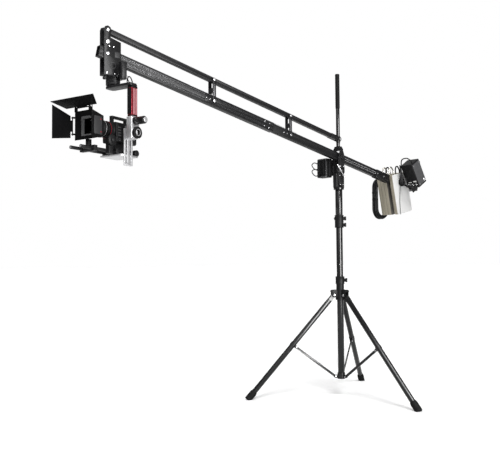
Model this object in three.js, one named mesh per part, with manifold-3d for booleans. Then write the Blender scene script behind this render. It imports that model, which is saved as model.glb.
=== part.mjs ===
// Camera jib crane: a folding three-legged stand, a swivelling yoke with a tall upright pole,
// a parallelogram arm, plate weights behind and a remote head with a camera rig in front.
// Millimetres, +Z up, the arm along X with the camera end towards -X.
import * as THREE from 'three';
import { mergeVertices } from 'three/addons/utils/BufferGeometryUtils.js';
import Module from 'manifold-3d';

const wasm = await Module();
wasm.setup();

// Shared values
const clearance = 0.3;
const overrun = 3;
const facets = { large: 24, medium: 14, small: 8, hex: 6, cord: 6 };
const half = 0.5;
const radian = Math.PI / 180;
const legCount = 3;

// Folding stand
const column = { radius: 19, wall: 2.5, top: 1065, slide: 0.4 };
const pinHole = { radius: 4, belowTop: 295, azimuth: -131 };
const stand = { footRadius: 550, footHeight: 8, azimuth: 27.4 };
const hub = {
  bottom: 102, floor: 5, height: 34, radius: 22.5, pivotRadius: 35.5, pivotAbove: 14,
  earWall: 3.5, earRadius: 9, headRadius: 5, headHeight: 2.5,
};
const bracket = {
  pivotRadius: 40, pivotHeight: 590, below: 28, above: 32, radius: 26.5, neckRadius: 22.5,
  earWall: 4.5, earRadius: 13, pinRadius: 4, headRadius: 6.5, headHeight: 4,
  crownReach: 57, crownLow: 19, crownEdge: 8,
};
const lowerCollar = { above: 65, height: 45, radius: 26, bossRadius: 9, bossReach: 31, azimuth: -49 };
const knob = {
  stemRadius: 4, headRadius: 12, headHeight: 12, notchRadius: 4.5, notchCount: 6, notchPlaceShare: 1.15,
};
const leg = {
  tubeRadius: 15, wall: 2, tongueThick: 22, tongueRadius: 12, tongueLength: 50, tubeStart: 38,
  boreStart: 62, endGap: 22, clipHeight: 22, clipRadius: 17, braceShare: 0.485,
};
const clip = { offset: 25, earWall: 3.5, earRadius: 8, pinRadius: 3, headRadius: 5, headHeight: 2 };
const brace = { thick: 6, halfWidth: 7, endRadius: 7.5, earGap: 0.4, openHole: 4 };
const foot = { radius: 20.5, topRadius: 17.5, sleeve: 40, coneHeight: 10, beyond: 12 };

// Telescoping mast
const mast = { radius: 21, overColumn: 47, length: 196, plug: 15, flangeRadius: 30, flangeHeight: 10.4 };
const upperCollar = {
  below: 30, above: 44, radius: 25.7, bossRadius: 9, bossReach: 29, knobAzimuth: -49, knobRises: [24, -14],
};

// Swivelling yoke
const yoke = { halfLength: 34.5, halfWidth: 15.5, height: 84, edge: 5 };
const cheek = {
  halfWidth: 25, thick: 6, lift: 6.3, shoulderHalf: 31, shoulderLow: 96, shoulderHigh: 52,
  boltRadius: 7, boltHeight: 3,
};
const pivot = { rise: 182.3, shaftRadius: 8, headRadius: 13, headHeight: 6, cheekRadius: 22 };
const poleBracket = {
  thick: 6, halfWidth: 21, neckHalf: 12, below: 66, neckAbove: 18, bridgeAbove: 39, bridgeHeight: 25,
  bridgeEdge: 8, bridgeTopHalf: 18, socketDepth: 18,
};
const pole = { radius: 11, wall: 2, above: 500, gripLength: 206, gripRadius: 13, gripCap: 6 };
const rodClamp = { height: 34, radius: 14, flat: 12.6, trunnionRadius: 5 };
const tiltLever = {
  x: -17, below: 84, stemRadius: 6, stemLength: 18, rodRadius: 2.6, rodLength: 92, lean: 41, ballRadius: 5.5,
};
const pack = {
  near: 38, far: 112, front: -64, back: -14, below: 118, height: 112, edge: 6,
  slotHalf: 9, slotDepth: 3, slotFloor: 16, slotHeight: 82, slotPlaceShares: [0.22, 0.6],
  armHalf: 13, armFloor: 12, armHeight: 39,
};
const lead = {
  diameter: 5.5, reach: 46, drop: 34, sideways: 5, plugThick: 6, plugHalf: 6, plugFloor: 2, plugHeight: 92,
};
const leadPlace = { y: 101, topsBelow: [28, 67] };
const leadReachShares = [0.62, 1, 0.8, 0.4];
const leadDropShares = [-0.09, 0.3, 0.78, 1.06];

// Parallelogram arm
const arm = { elevation: 11.7, spacing: 108, front: 1600, linkBefore: 132, linkAfter: 422 };
const frontBeam = { height: 50, width: 30, wallSide: 1.7, wallTop: 2.2, start: 555, beyond: 40 };
const rearBeam = { height: 45, width: 26, wall: 2.5, overlap: 85, end: 468 };
const groove = { depth: 0.8, height: 5, placeShares: [-0.2, 0.22], rearStart: 40 };
const sidePlate = {
  front: 60, back: 15, thick: 3, half: 19, cornerRun: 11.5, cornerDrop: 16,
  boltRadius: 4.5, boltHeight: 2, boltShares: [0.2, 0.72],
};
const rod = { width: 25, wall: 2.5, rearGap: 26, frontGap: 22 };
const fork = { thick: 4, length: 78, radius: 12, inset: 0.6 };
const link = { halfWidth: 10, thick: 4, gap: 0.4, pinRadius: 5, headRadius: 7.5, headHeight: 4, webHalf: 11 };

// Weights and control box behind
const endFitting = {
  overlap: 123, plate: 4, height: 50, blockLength: 10, barWidth: 24, barHeight: 40, barLength: 248,
  boltRadius: 5.5, boltHeight: 2.5, boltPlaces: [13, 77],
};
const weightBar = { beyond: 103, radius: 12.5, nearEnd: 58, farEnd: 139, flangeRadius: 19, flangeHeight: 4 };
const weight = {
  width: 158, height: 256, thick: 24, corner: 12, above: 59, gap: 0.8, start: 12.8, lean: -12.5,
  handleHalf: 20, handleHeight: 46, handleRadius: 4.2, handleSink: 4, handleShoulderShare: 0.93,
};
const farWeights = 3;
const weightNut = { radius: 25, height: 16, notchRadius: 7, notchCount: 5, notchPlaceShare: 1.12 };
const box = {
  lean: 43, beyondBar: 28, above: 60, depth: 92, tall: 162, near: -150, far: -68, edge: 5,
  plugAlong: 30, plugUp: -10,
};
const boxMount = { thick: 6, front: -12, back: 44, low: -128, high: -30, length: 40 };
const controlKnob = { radius: 9, height: 12, along: -58, side: -22 };
const stick = { radius: 4, length: 26, ballRadius: 8, along: 40, side: -8, bootRadius: 15, bootHeight: 5 };
const hank = {
  diameter: 9, pitch: 10, layers: 4, turns: 2, radius: 48, run: 68, aside: 17, gap: 1,
  arcSteps: 8, runSteps: 4, startTail: 34,
};
// The hank's tail, from its last turn to the control box: places from the middle of the weight bar
const hankTail = [
  [32, 132, -37], [38, 138, -50], [52, 139, -58], [72, 134, -54], [98, 118, -28], [114, 84, 6],
  [116, 24, 22], [106, -24, 44], [82, -43, 59],
];
const hankTailSteps = 30;

// Head mount in front
const frontPlate = {
  thick: 5, forward: 18, back: 67, low: 42, high: 74, earRadius: 14, spacerRadius: 11,
  hangerBack: 64, hangerLow: 98, floor: 10, pinRadius: 6, headRadius: 8.5, headHeight: 4,
};
const headBase = {
  back: 38, starRadius: 46, starThick: 8, armCount: 4, housingRadius: 32, housingHeight: 39, collarRadius: 26,
};
const panMotor = { x: 16, y: -58, halfX: 15, halfY: 14, drop: 18, height: 77, shaftRadius: 9 };

// Remote head and camera rig, drawn about the pan axis with x backwards and y to the far side
const rig = { turn: 16, tiltX: 14 };
const headArm = { bossHeight: 4.7, thick: 10, front: -24, back: 32, far: 30, near: -124, edge: 16 };
const sideColumn = { x: 11, y: -107, halfX: 19, halfY: 12, length: 136.4 };
const gearbox = {
  front: -14, back: 38, near: -122, far: -94, height: 99, axisBelow: 73, edge: 6,
  ringOuter: 26, ringInner: 12, ringDepth: 16,
};
const tiltMotor = { x: 11, belowTop: 21, radius: 17, length: 56, capRadius: 13, capLength: 5 };
const cradle = {
  plateNear: -80, plateThick: 6, front: -12, back: 42, below: 144, above: 22, shaftRadius: 7,
  slotHalf: 4, slotFloor: 12, slotHeight: 105, slotPlaceShares: [0.26, 0.74],
  platformBelow: 93, platformThick: 8, platformFront: -28, platformBack: 84, platformFar: 50, ribHalf: 5,
};
const baseBlock = {
  front: -24, back: 72, halfWidth: 42, height: 25.7,
  riserHalf: 26, riserFront: -14, riserBack: 62, riserHeight: 29,
};
const rails = {
  radius: 7.5, spacing: 30, lift: 12, beyond: 46, back: 108,
  bridgeBehind: 30, bridgeHalf: 9, bridgeWidth: 44, bridgeHeight: 13, postHalf: 9,
};
const camera = {
  front: -22, back: 110, halfWidth: 42, height: 91.7, edge: 9, mountRadius: 34, mountLength: 8,
  handleRise: 32, handleFront: -14, handleBack: 86, handleHalf: 9, handleBar: 11,
};
const lens = { lift: 55.7, radii: [30, 38, 34, 40], lengths: [21.7, 22, 38], bore: 27, boreDepth: 14 };
const matteBox = {
  depth: 67.7, halfWidth: 52, frontHalf: 63, backHalf: 45, wall: 5,
  mouthHalf: 25, mouthHigh: 34, mouthDepth: 30,
};
const flag = { thick: 2.4, tubeRadius: 2.6, earRadius: 5, earThick: 5, start: 8, webShare: 0.8 };
const topFlag = { ahead: 5, above: 12, rearHalf: 90, outerHalf: 127, length: 72, rise: 24, earPlace: 42 };
const sideFlag = {
  ahead: 6, beyond: 8, low: -52, lowOuter: -56, high: 44, highOuter: 91, length: 86, swing: 43, earPlace: 36,
};
const focus = {
  ahead: 42, lift: 45, near: -50, far: -30, half: 13, topRise: 16,
  wheelRadius: 25, wheelThick: 9, hubRadius: 11, hubReach: 8, pinRadius: 4, pinReach: 12,
};
const headLead = { diameter: 5 };
// The head's lead: places from the pan axis, with z above the head arm
const headLeadPath = [
  [0, -86, 0.3], [0, -86, 6], [-2, -88, 20], [-5, -100, 31], [-5, -112, 22], [0, -115, 7], [0, -115, 0.3],
];

// Finishes
const finish = (color, roughness, metalness) => new THREE.MeshStandardMaterial({
  color, roughness, metalness, flatShading: true,
});
const finishes = {
  blackPaint: () => finish(0x141416, 0.45, 0.35),
  blackAnodised: () => finish(0x202124, 0.4, 0.6),
  greyAnodised: () => finish(0x4a4b4e, 0.4, 0.7),
  silver: () => finish(0xc4c4c6, 0.3, 0.9),
  red: () => finish(0xa01528, 0.35, 0.7),
  blackPlastic: () => finish(0x17171a, 0.6, 0),
  rubber: () => finish(0x101012, 0.85, 0),
  steelPlate: () => finish(0xa9a598, 0.5, 0.6),
  cable: () => finish(0x0e0e10, 0.7, 0),
};

// Solids
function solid(geometry) {
  const bare = geometry.clone();
  bare.deleteAttribute('normal');
  bare.deleteAttribute('uv');
  const merged = mergeVertices(bare);
  const body = new wasm.Manifold(new wasm.Mesh({
    numProp: 3,
    vertProperties: new Float32Array(merged.attributes.position.array),
    triVerts: new Uint32Array(merged.index.array),
  }));
  return body;
}

function join(...shapes) {
  return shapes.reduce((all, shape) => all.add(shape));
}

function cut(shape, ...tools) {
  return tools.reduce((rest, tool) => rest.subtract(tool), shape);
}

function block([x0, x1], [y0, y1], [z0, z1]) {
  const geometry = new THREE.BoxGeometry(x1 - x0, y1 - y0, z1 - z0);
  geometry.translate((x0 + x1) * half, (y0 + y1) * half, (z0 + z1) * half);
  return solid(geometry);
}

// A round bar along an axis, from one coordinate to another, tapered if it has two radii
function bar(radius, from, to, axis = 'z', sides = facets.medium, endRadius = radius) {
  const geometry = new THREE.CylinderGeometry(endRadius, radius, to - from, sides);
  geometry.translate(0, (from + to) * half, 0);
  if (axis === 'z') geometry.rotateX(Math.PI * half);
  if (axis === 'x') geometry.rotateZ(-Math.PI * half);
  return solid(geometry);
}

// A hole that clears a round bar of the given radius however the bar turns in it
function turningHole(radius, from, to, axis = 'z', sides = facets.small) {
  return bar((radius + clearance) / Math.cos(Math.PI / sides), from, to, axis, sides);
}

function ring(outer, inner, from, to, axis = 'z', sides = facets.large) {
  return cut(bar(outer, from, to, axis, sides), bar(inner, from - overrun, to + overrun, axis, sides));
}

function ball(radius) {
  return solid(new THREE.SphereGeometry(radius, facets.small, facets.hex));
}

function rounded([x0, x1], [y0, y1], radius) {
  const shape = new THREE.Shape();
  shape.moveTo(x0 + radius, y0);
  shape.lineTo(x1 - radius, y0);
  shape.absarc(x1 - radius, y0 + radius, radius, -Math.PI * half, 0);
  shape.lineTo(x1, y1 - radius);
  shape.absarc(x1 - radius, y1 - radius, radius, 0, Math.PI * half);
  shape.lineTo(x0 + radius, y1);
  shape.absarc(x0 + radius, y1 - radius, radius, Math.PI * half, Math.PI);
  shape.lineTo(x0, y0 + radius);
  shape.absarc(x0 + radius, y0 + radius, radius, Math.PI, Math.PI * 3 * half);
  return shape;
}

function outline(points) {
  return new THREE.Shape(points.map(([x, y]) => new THREE.Vector2(x, y)));
}

function extruded(shape, depth, curveSegments) {
  return new THREE.ExtrudeGeometry(shape, { depth, bevelEnabled: false, curveSegments });
}

// An outline in the X-Z plane given a thickness along Y
function panel(shape, y0, y1, curve = 2) {
  const geometry = extruded(shape, y1 - y0, curve);
  geometry.rotateX(Math.PI * half);
  geometry.translate(0, y1, 0);
  return solid(geometry);
}

// An outline in the X-Y plane given a height along Z
function sheet(shape, z0, z1, curve = 2) {
  const geometry = extruded(shape, z1 - z0, curve);
  geometry.translate(0, 0, z0);
  return solid(geometry);
}

// An outline in the Y-Z plane given a length along X
function prism(shape, x0, x1, curve = 2) {
  const geometry = extruded(shape, x1 - x0, curve);
  geometry.rotateX(Math.PI * half);
  geometry.rotateZ(Math.PI * half);
  geometry.translate(x0, 0, 0);
  return solid(geometry);
}

// A closed tube with a ring of points round each place of a path, its ends flat
function tube(path, radius, sides) {
  const places = path.map((p) => new THREE.Vector3(...p));
  const positions = [];
  const index = [];
  let across = null;
  places.forEach((place, i) => {
    const before = places[Math.max(i - 1, 0)];
    const after = places[Math.min(i + 1, places.length - 1)];
    const along = after.clone().sub(before).normalize();
    if (!across) across = new THREE.Vector3(1, 1, 1).cross(along).normalize();
    across.addScaledVector(along, -across.dot(along)).normalize();
    const up = along.clone().cross(across);
    for (let j = 0; j < sides; j += 1) {
      const angle = j / sides * Math.PI * 2;
      const point = place.clone()
        .addScaledVector(across, Math.cos(angle) * radius)
        .addScaledVector(up, Math.sin(angle) * radius);
      positions.push(...point.toArray());
    }
  });
  const last = (places.length - 1) * sides;
  for (let i = 0; i < last; i += sides) {
    for (let j = 0; j < sides; j += 1) {
      const next = (j + 1) % sides;
      index.push(i + j, i + next, i + sides + next, i + j, i + sides + next, i + sides + j);
    }
  }
  for (let j = 1; j < sides - 1; j += 1) {
    index.push(0, j + 1, j, last, last + j, last + j + 1);
  }
  const geometry = new THREE.BufferGeometry();
  geometry.setAttribute('position', new THREE.BufferAttribute(new Float32Array(positions), 3));
  geometry.setIndex(index);
  return solid(geometry);
}

function smooth(points, steps) {
  const curve = new THREE.CatmullRomCurve3(points.map((p) => new THREE.Vector3(...p)));
  return curve.getPoints(steps).map((p) => p.toArray());
}

// The least room between a winding's turns, measured between its places that aren't neighbours
function leastGap(path, diameter, apart) {
  const places = path.map((p) => new THREE.Vector3(...p));
  const stretch = new THREE.Line3();
  const nearest = new THREE.Vector3();
  let least = Infinity;
  for (let i = 0; i < places.length; i += 1) {
    for (let j = i + apart; j < places.length - 1; j += 1) {
      stretch.set(places[j], places[j + 1]).closestPointToPoint(places[i], true, nearest);
      least = Math.min(least, nearest.distanceTo(places[i]));
    }
  }
  return least - diameter;
}

function piece(name, shape, material, parent) {
  const { vertProperties, triVerts } = shape.getMesh();
  const geometry = new THREE.BufferGeometry();
  geometry.setAttribute('position', new THREE.BufferAttribute(new Float32Array(vertProperties), 3));
  geometry.setIndex(new THREE.BufferAttribute(new Uint32Array(triVerts), 1));
  geometry.computeVertexNormals();
  const mesh = new THREE.Mesh(geometry, material());
  mesh.name = name;
  parent.add(mesh);
  return mesh;
}

function group(parent, [x, y, z] = [0, 0, 0], { turnY = 0, turnZ = 0 } = {}) {
  const node = new THREE.Group();
  node.position.set(x, y, z);
  node.rotation.set(0, turnY, turnZ);
  parent.add(node);
  return node;
}

const crane = new THREE.Group();
const model = group(crane);

// Heights and places that several pieces share
const hubPivotHeight = hub.bottom + hub.pivotAbove;
const collarBottom = bracket.pivotHeight + lowerCollar.above;
const mastBottom = column.top - mast.overColumn;
const mastTop = mastBottom + mast.length;
const yokeBottom = mastTop + mast.flangeHeight + clearance;
const pivotHeight = yokeBottom + pivot.rise;
const barAlong = rearBeam.end + weightBar.beyond;
const boxAlong = barAlong + box.beyondBar;

// Centre column and hub
const hubEarGap = brace.thick * half + brace.earGap;
const columnBottom = hub.bottom + hub.floor + clearance;

function earPair(innerX, pivotX, height, gap, wall, radius) {
  const ears = [-1, 1].map((side) => {
    const [y0, y1] = side < 0 ? [-gap - wall, -gap] : [gap, gap + wall];
    const plate = block([innerX, pivotX], [y0, y1], [height - radius, height + radius]);
    return join(plate, bar(radius, y0, y1, 'y', facets.small).translate([pivotX, 0, height]));
  });
  return join(...ears);
}

function pinHeads(pivotX, height, from, headRadius, headHeight, sides) {
  const near = bar(headRadius, -from - headHeight, -from, 'y', sides).translate([pivotX, 0, height]);
  const far = bar(headRadius, from, from + headHeight, 'y', sides).translate([pivotX, 0, height]);
  return join(near, far);
}

function makeColumn() {
  const tube = ring(column.radius, column.radius - column.wall, columnBottom, column.top);
  const hole = bar(pinHole.radius, -column.radius - overrun, column.radius + overrun, 'x', facets.small);
  const placed = hole.rotate([0, 0, pinHole.azimuth]).translate([0, 0, column.top - pinHole.belowTop]);
  piece('centre_column', cut(tube, placed), finishes.blackPaint, model);
}

function makeHub() {
  const top = hub.bottom + hub.height;
  const cup = cut(
    bar(hub.radius, hub.bottom, top, 'z', facets.large),
    bar(column.radius + clearance, hub.bottom + hub.floor, top + overrun, 'z', facets.large),
  );
  const inner = column.radius + column.wall;
  const earOuter = hubEarGap + hub.earWall;
  const arms = [...Array(legCount).keys()].map((i) => {
    const ears = join(
      earPair(inner, hub.pivotRadius, hubPivotHeight, hubEarGap, hub.earWall, hub.earRadius),
      pinHeads(hub.pivotRadius, hubPivotHeight, earOuter, hub.headRadius, hub.headHeight, facets.small),
    );
    return ears.rotate([0, 0, stand.azimuth + i * 360 / legCount]);
  });
  piece('bottom_hub', join(cup, ...arms), finishes.blackPaint, model);
}

// Leg bracket, the clamp above it and its knob: they slide on the column
const tongueGap = leg.tongueThick * half + column.slide;

function makeLegBracket() {
  const bore = column.radius + column.slide;
  const low = bracket.pivotHeight - bracket.below;
  const neckTop = collarBottom - clearance;
  const body = join(
    bar(bracket.radius, low, bracket.pivotHeight + bracket.above, 'z', facets.large),
    bar(bracket.neckRadius, low, neckTop, 'z', facets.large),
  );
  const inner = bore + column.wall;
  const earOuter = tongueGap + bracket.earWall;
  const crown = panel(outline([
    [inner, bracket.crownLow], [bracket.crownReach, bracket.crownLow],
    [bracket.crownReach, bracket.above - bracket.crownEdge],
    [bracket.crownReach - bracket.crownEdge, bracket.above], [inner, bracket.above],
  ]), -earOuter, earOuter);
  const webs = [[-earOuter, -tongueGap], [tongueGap, earOuter]].map((ys) => block(
    [inner, bracket.pivotRadius + bracket.earRadius], ys, [0, bracket.crownLow + overrun],
  ));
  const arms = [...Array(legCount).keys()].map((i) => {
    const ears = join(
      join(crown, ...webs).translate([0, 0, bracket.pivotHeight]),
      earPair(inner, bracket.pivotRadius, bracket.pivotHeight, tongueGap, bracket.earWall, bracket.earRadius),
      bar(bracket.pinRadius, -earOuter, earOuter, 'y', facets.small)
        .translate([bracket.pivotRadius, 0, bracket.pivotHeight]),
      pinHeads(
        bracket.pivotRadius, bracket.pivotHeight, earOuter,
        bracket.headRadius, bracket.headHeight, facets.hex,
      ),
    );
    return ears.rotate([0, 0, stand.azimuth + i * 360 / legCount]);
  });
  const bored = cut(join(body, ...arms), bar(bore, low - overrun, neckTop + overrun, 'z', facets.large));
  piece('leg_bracket', bored, finishes.blackPlastic, model);
}

function knobShape() {
  const head = bar(knob.headRadius, 0, knob.headHeight, 'x', facets.medium);
  const notches = [...Array(knob.notchCount).keys()].map((i) => bar(
    knob.notchRadius, -overrun, knob.headHeight + overrun, 'x', facets.small,
  ).translate([0, 0, knob.headRadius * knob.notchPlaceShare]).rotate([i * 360 / knob.notchCount, 0, 0]));
  return cut(head, ...notches);
}

function collarKnob(name, reach, bore, height, azimuth) {
  const from = bore + clearance;
  const shape = join(
    bar(knob.stemRadius, from, reach + overrun, 'x', facets.small),
    knobShape().translate([reach + clearance, 0, 0]),
  );
  piece(name, shape.translate([0, 0, height]).rotate([0, 0, azimuth]), finishes.blackPlastic, model);
}

function collarBoss(body, radius, reach, height, azimuth) {
  const boss = bar(radius, column.radius + column.wall, reach, 'x', facets.small);
  return join(body, boss.translate([0, 0, height]).rotate([0, 0, azimuth]));
}

function stemHole(reach, height, azimuth) {
  const hole = turningHole(knob.stemRadius, 0, reach + overrun, 'x');
  return hole.translate([0, 0, height]).rotate([0, 0, azimuth]);
}

function makeLowerCollar() {
  const top = collarBottom + lowerCollar.height;
  const middle = (collarBottom + top) * half;
  const bore = column.radius + column.slide;
  const boss = collarBoss(
    bar(lowerCollar.radius, collarBottom, top, 'z', facets.large),
    lowerCollar.bossRadius, lowerCollar.bossReach, middle, lowerCollar.azimuth,
  );
  const shape = cut(
    boss,
    bar(bore, collarBottom - overrun, top + overrun, 'z', facets.large),
    stemHole(lowerCollar.bossReach, middle, lowerCollar.azimuth),
  );
  piece('lower_collar', shape, finishes.blackPlastic, model);
  collarKnob('lower_knob', lowerCollar.bossReach, bore, middle, lowerCollar.azimuth);
}

// Legs, feet and braces, drawn in a radial plane with x outwards
const legRun = stand.footRadius - bracket.pivotRadius;
const legDrop = bracket.pivotHeight - stand.footHeight;
const legLength = Math.hypot(legRun, legDrop);
const legAngle = Math.atan2(legRun, legDrop);
const braceDistance = legLength * leg.braceShare;

function legShape() {
  const tongue = join(
    bar(leg.tongueRadius, -leg.tongueThick * half, leg.tongueThick * half, 'y', facets.medium),
    block(
      [-leg.tongueRadius, leg.tongueRadius], [-leg.tongueThick * half, leg.tongueThick * half],
      [-leg.tongueLength, 0],
    ),
  );
  const tube = bar(leg.tubeRadius, -legLength + leg.endGap, -leg.tubeStart, 'z', facets.medium);
  const bore = bar(leg.tubeRadius - leg.wall, -legLength, -leg.boreStart, 'z', facets.medium);
  const clipHalf = leg.clipHeight * half;
  const band = bar(leg.clipRadius, -braceDistance - clipHalf, -braceDistance + clipHalf, 'z', facets.medium);
  const earGap = brace.thick * half + brace.earGap;
  const ears = join(
    earPair(leg.tubeRadius, clip.offset, 0, earGap, clip.earWall, clip.earRadius),
    bar(clip.pinRadius, -earGap - clip.earWall, earGap + clip.earWall, 'y', facets.small)
      .translate([clip.offset, 0, 0]),
    pinHeads(clip.offset, 0, earGap + clip.earWall, clip.headRadius, clip.headHeight, facets.small),
  ).rotate([0, 0, 180]).translate([0, 0, -braceDistance]);
  const hole = turningHole(bracket.pinRadius, -leg.tongueThick, leg.tongueThick, 'y');
  return cut(join(tongue, cut(tube, bore), cut(band, bore), ears), hole);
}

function footShape() {
  const end = -legLength - foot.beyond;
  const rim = -legLength + foot.sleeve;
  const body = join(
    bar(foot.radius, end, rim, 'z', facets.medium),
    bar(foot.radius, rim, rim + foot.coneHeight, 'z', facets.medium, foot.topRadius),
  );
  const bore = bar(
    leg.tubeRadius + clearance, -legLength + leg.endGap - clearance, rim + foot.coneHeight + overrun, 'z',
    facets.medium,
  );
  const turned = cut(body, bore).rotate([0, -legAngle / radian, 0]);
  const floor = block(
    [-stand.footRadius * 2, stand.footRadius * 2],
    [-stand.footRadius, stand.footRadius],
    [-bracket.pivotHeight * 2, -bracket.pivotHeight],
  );
  return cut(turned, floor).rotate([0, legAngle / radian, 0]);
}

function braceShape() {
  const joint = {
    x: bracket.pivotRadius + Math.sin(legAngle) * braceDistance - Math.cos(legAngle) * clip.offset,
    z: bracket.pivotHeight - Math.cos(legAngle) * braceDistance - Math.sin(legAngle) * clip.offset,
  };
  const run = joint.x - hub.pivotRadius;
  const rise = joint.z - hubPivotHeight;
  const length = Math.hypot(run, rise);
  const halfThick = brace.thick * half;
  const strip = join(
    block([0, length], [-halfThick, halfThick], [-brace.halfWidth, brace.halfWidth]),
    bar(brace.endRadius, -halfThick, halfThick, 'y', facets.small),
    bar(brace.endRadius, -halfThick, halfThick, 'y', facets.small).translate([length, 0, 0]),
  );
  const holes = [
    bar(brace.openHole, -overrun - halfThick, overrun + halfThick, 'y', facets.small),
    turningHole(clip.pinRadius, -overrun - halfThick, overrun + halfThick, 'y').translate([length, 0, 0]),
  ];
  return cut(strip, ...holes).rotate([0, -Math.atan2(rise, run) / radian, 0])
    .translate([hub.pivotRadius, 0, hubPivotHeight]);
}

function makeLegs() {
  for (let i = 0; i < legCount; i += 1) {
    const radial = group(model, [0, 0, 0], { turnZ: (stand.azimuth + i * 360 / legCount) * radian });
    const hinge = group(radial, [bracket.pivotRadius, 0, bracket.pivotHeight], { turnY: -legAngle });
    piece(`leg_${i + 1}`, legShape(), finishes.blackPaint, hinge);
    piece(`foot_${i + 1}`, footShape(), finishes.rubber, hinge);
    piece(`brace_${i + 1}`, braceShape(), finishes.blackPaint, radial);
  }
}

// Telescoping mast with its collar and two knobs
function makeMast() {
  const bore = column.radius + column.slide;
  const shell = cut(
    join(
      bar(mast.radius, mastBottom, mastTop, 'z', facets.large),
      bar(mast.flangeRadius, mastTop - clearance, mastTop + mast.flangeHeight, 'z', facets.large),
    ),
    bar(bore, mastBottom - overrun, mastTop - mast.plug, 'z', facets.large),
  );
  piece('mast_sleeve', shell, finishes.blackPaint, model);
  const u = upperCollar;
  const seat = mastBottom - clearance;
  const low = mastBottom - u.below;
  const top = mastBottom + u.above;
  const heights = u.knobRises.map((rise) => mastBottom + rise);
  let collar = bar(u.radius, low, top, 'z', facets.large);
  for (const height of heights) {
    collar = collarBoss(collar, u.bossRadius, u.bossReach, height, u.knobAzimuth);
  }
  collar = collarBoss(collar, u.bossRadius, u.bossReach, heights[0], u.knobAzimuth + 180);
  collar = cut(
    collar,
    bar(bore, low - overrun, seat + overrun, 'z', facets.large),
    bar(mast.radius + clearance, seat, top + overrun, 'z', facets.large),
    ...heights.map((height) => stemHole(u.bossReach, height, u.knobAzimuth)),
  );
  piece('upper_collar', collar, finishes.blackPlastic, model);
  heights.forEach((height, i) => {
    const inner = height > mastBottom ? mast.radius : bore;
    collarKnob(`upper_knob_${i + 1}`, u.bossReach, inner, height, u.knobAzimuth);
  });
}

// Yoke: block, cheeks, the bracket over the arm, and the pole
const cheekNear = yoke.halfWidth + clearance;
const cheekFar = cheekNear + cheek.thick;
const plateNear = cheekFar + clearance;
const plateFar = plateNear + poleBracket.thick;

const cheekLow = yokeBottom + cheek.lift + cheek.halfWidth;

function cheekOutline() {
  const shape = new THREE.Shape();
  const shoulderLow = pivotHeight - cheek.shoulderLow;
  const shoulderHigh = pivotHeight - cheek.shoulderHigh;
  shape.absarc(0, cheekLow, cheek.halfWidth, Math.PI, Math.PI * 2);
  shape.lineTo(cheek.halfWidth, shoulderLow);
  shape.lineTo(cheek.shoulderHalf, shoulderLow + cheek.shoulderHalf - cheek.halfWidth);
  shape.lineTo(cheek.shoulderHalf, shoulderHigh);
  shape.lineTo(pivot.cheekRadius, shoulderHigh + cheek.shoulderHalf - pivot.cheekRadius);
  shape.absarc(0, pivotHeight, pivot.cheekRadius, 0, Math.PI);
  shape.lineTo(-pivot.cheekRadius, shoulderHigh + cheek.shoulderHalf - pivot.cheekRadius);
  shape.lineTo(-cheek.shoulderHalf, shoulderHigh);
  shape.lineTo(-cheek.shoulderHalf, shoulderLow + cheek.shoulderHalf - cheek.halfWidth);
  shape.lineTo(-cheek.halfWidth, shoulderLow);
  return shape;
}

function makeYoke() {
  const base = sheet(
    rounded([-yoke.halfLength, yoke.halfLength], [-yoke.halfWidth, yoke.halfWidth], yoke.edge),
    yokeBottom, yokeBottom + yoke.height,
  );
  piece('yoke_block', base, finishes.blackAnodised, model);
  const shaftHole = turningHole(pivot.shaftRadius, -plateFar * 2, plateFar * 2, 'y')
    .translate([0, 0, pivotHeight]);
  ['near', 'far'].forEach((side, i) => {
    const [y0, y1] = i ? [cheekNear, cheekFar] : [-cheekFar, -cheekNear];
    const [b0, b1] = i ? [cheekFar, cheekFar + cheek.boltHeight] : [-cheekFar - cheek.boltHeight, -cheekFar];
    const bolt = bar(cheek.boltRadius, b0, b1, 'y', facets.small).translate([0, 0, cheekLow]);
    const shape = cut(join(panel(cheekOutline(), y0, y1), bolt), shaftHole);
    piece(`yoke_cheek_${side}`, shape, finishes.blackAnodised, model);
  });
  const p = poleBracket;
  const bridgeLow = pivotHeight + p.bridgeAbove;
  const bridgeHigh = bridgeLow + p.bridgeHeight;
  const bridgeEdge = bridgeLow + p.bridgeEdge;
  const plateShape = outline([
    [-p.halfWidth, pivotHeight - p.below], [p.halfWidth, pivotHeight - p.below],
    [p.halfWidth, pivotHeight + p.neckAbove], [p.neckHalf, bridgeLow], [p.neckHalf, bridgeEdge],
    [-p.neckHalf, bridgeEdge], [-p.neckHalf, bridgeLow], [-p.halfWidth, pivotHeight + p.neckAbove],
  ]);
  const bridge = prism(outline([
    [-plateFar, bridgeLow], [plateFar, bridgeLow], [plateFar, bridgeEdge], [p.bridgeTopHalf, bridgeHigh],
    [-p.bridgeTopHalf, bridgeHigh], [-plateFar, bridgeEdge],
  ]), -p.neckHalf, p.neckHalf);
  const socket = bar(pole.radius + clearance, bridgeHigh - p.socketDepth, bridgeHigh + overrun);
  const frame = cut(
    join(panel(plateShape, -plateFar, -plateNear), panel(plateShape, plateNear, plateFar), bridge),
    socket, shaftHole,
  );
  piece('pole_bracket', frame, finishes.blackAnodised, model);
  const headFrom = plateFar + clearance;
  piece('pivot_shaft', join(
    bar(pivot.shaftRadius, -headFrom - pivot.headHeight, headFrom + pivot.headHeight, 'y', facets.medium),
    pinHeads(0, 0, headFrom, pivot.headRadius, pivot.headHeight, facets.medium),
  ).translate([0, 0, pivotHeight]), finishes.blackAnodised, model);
}

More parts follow.
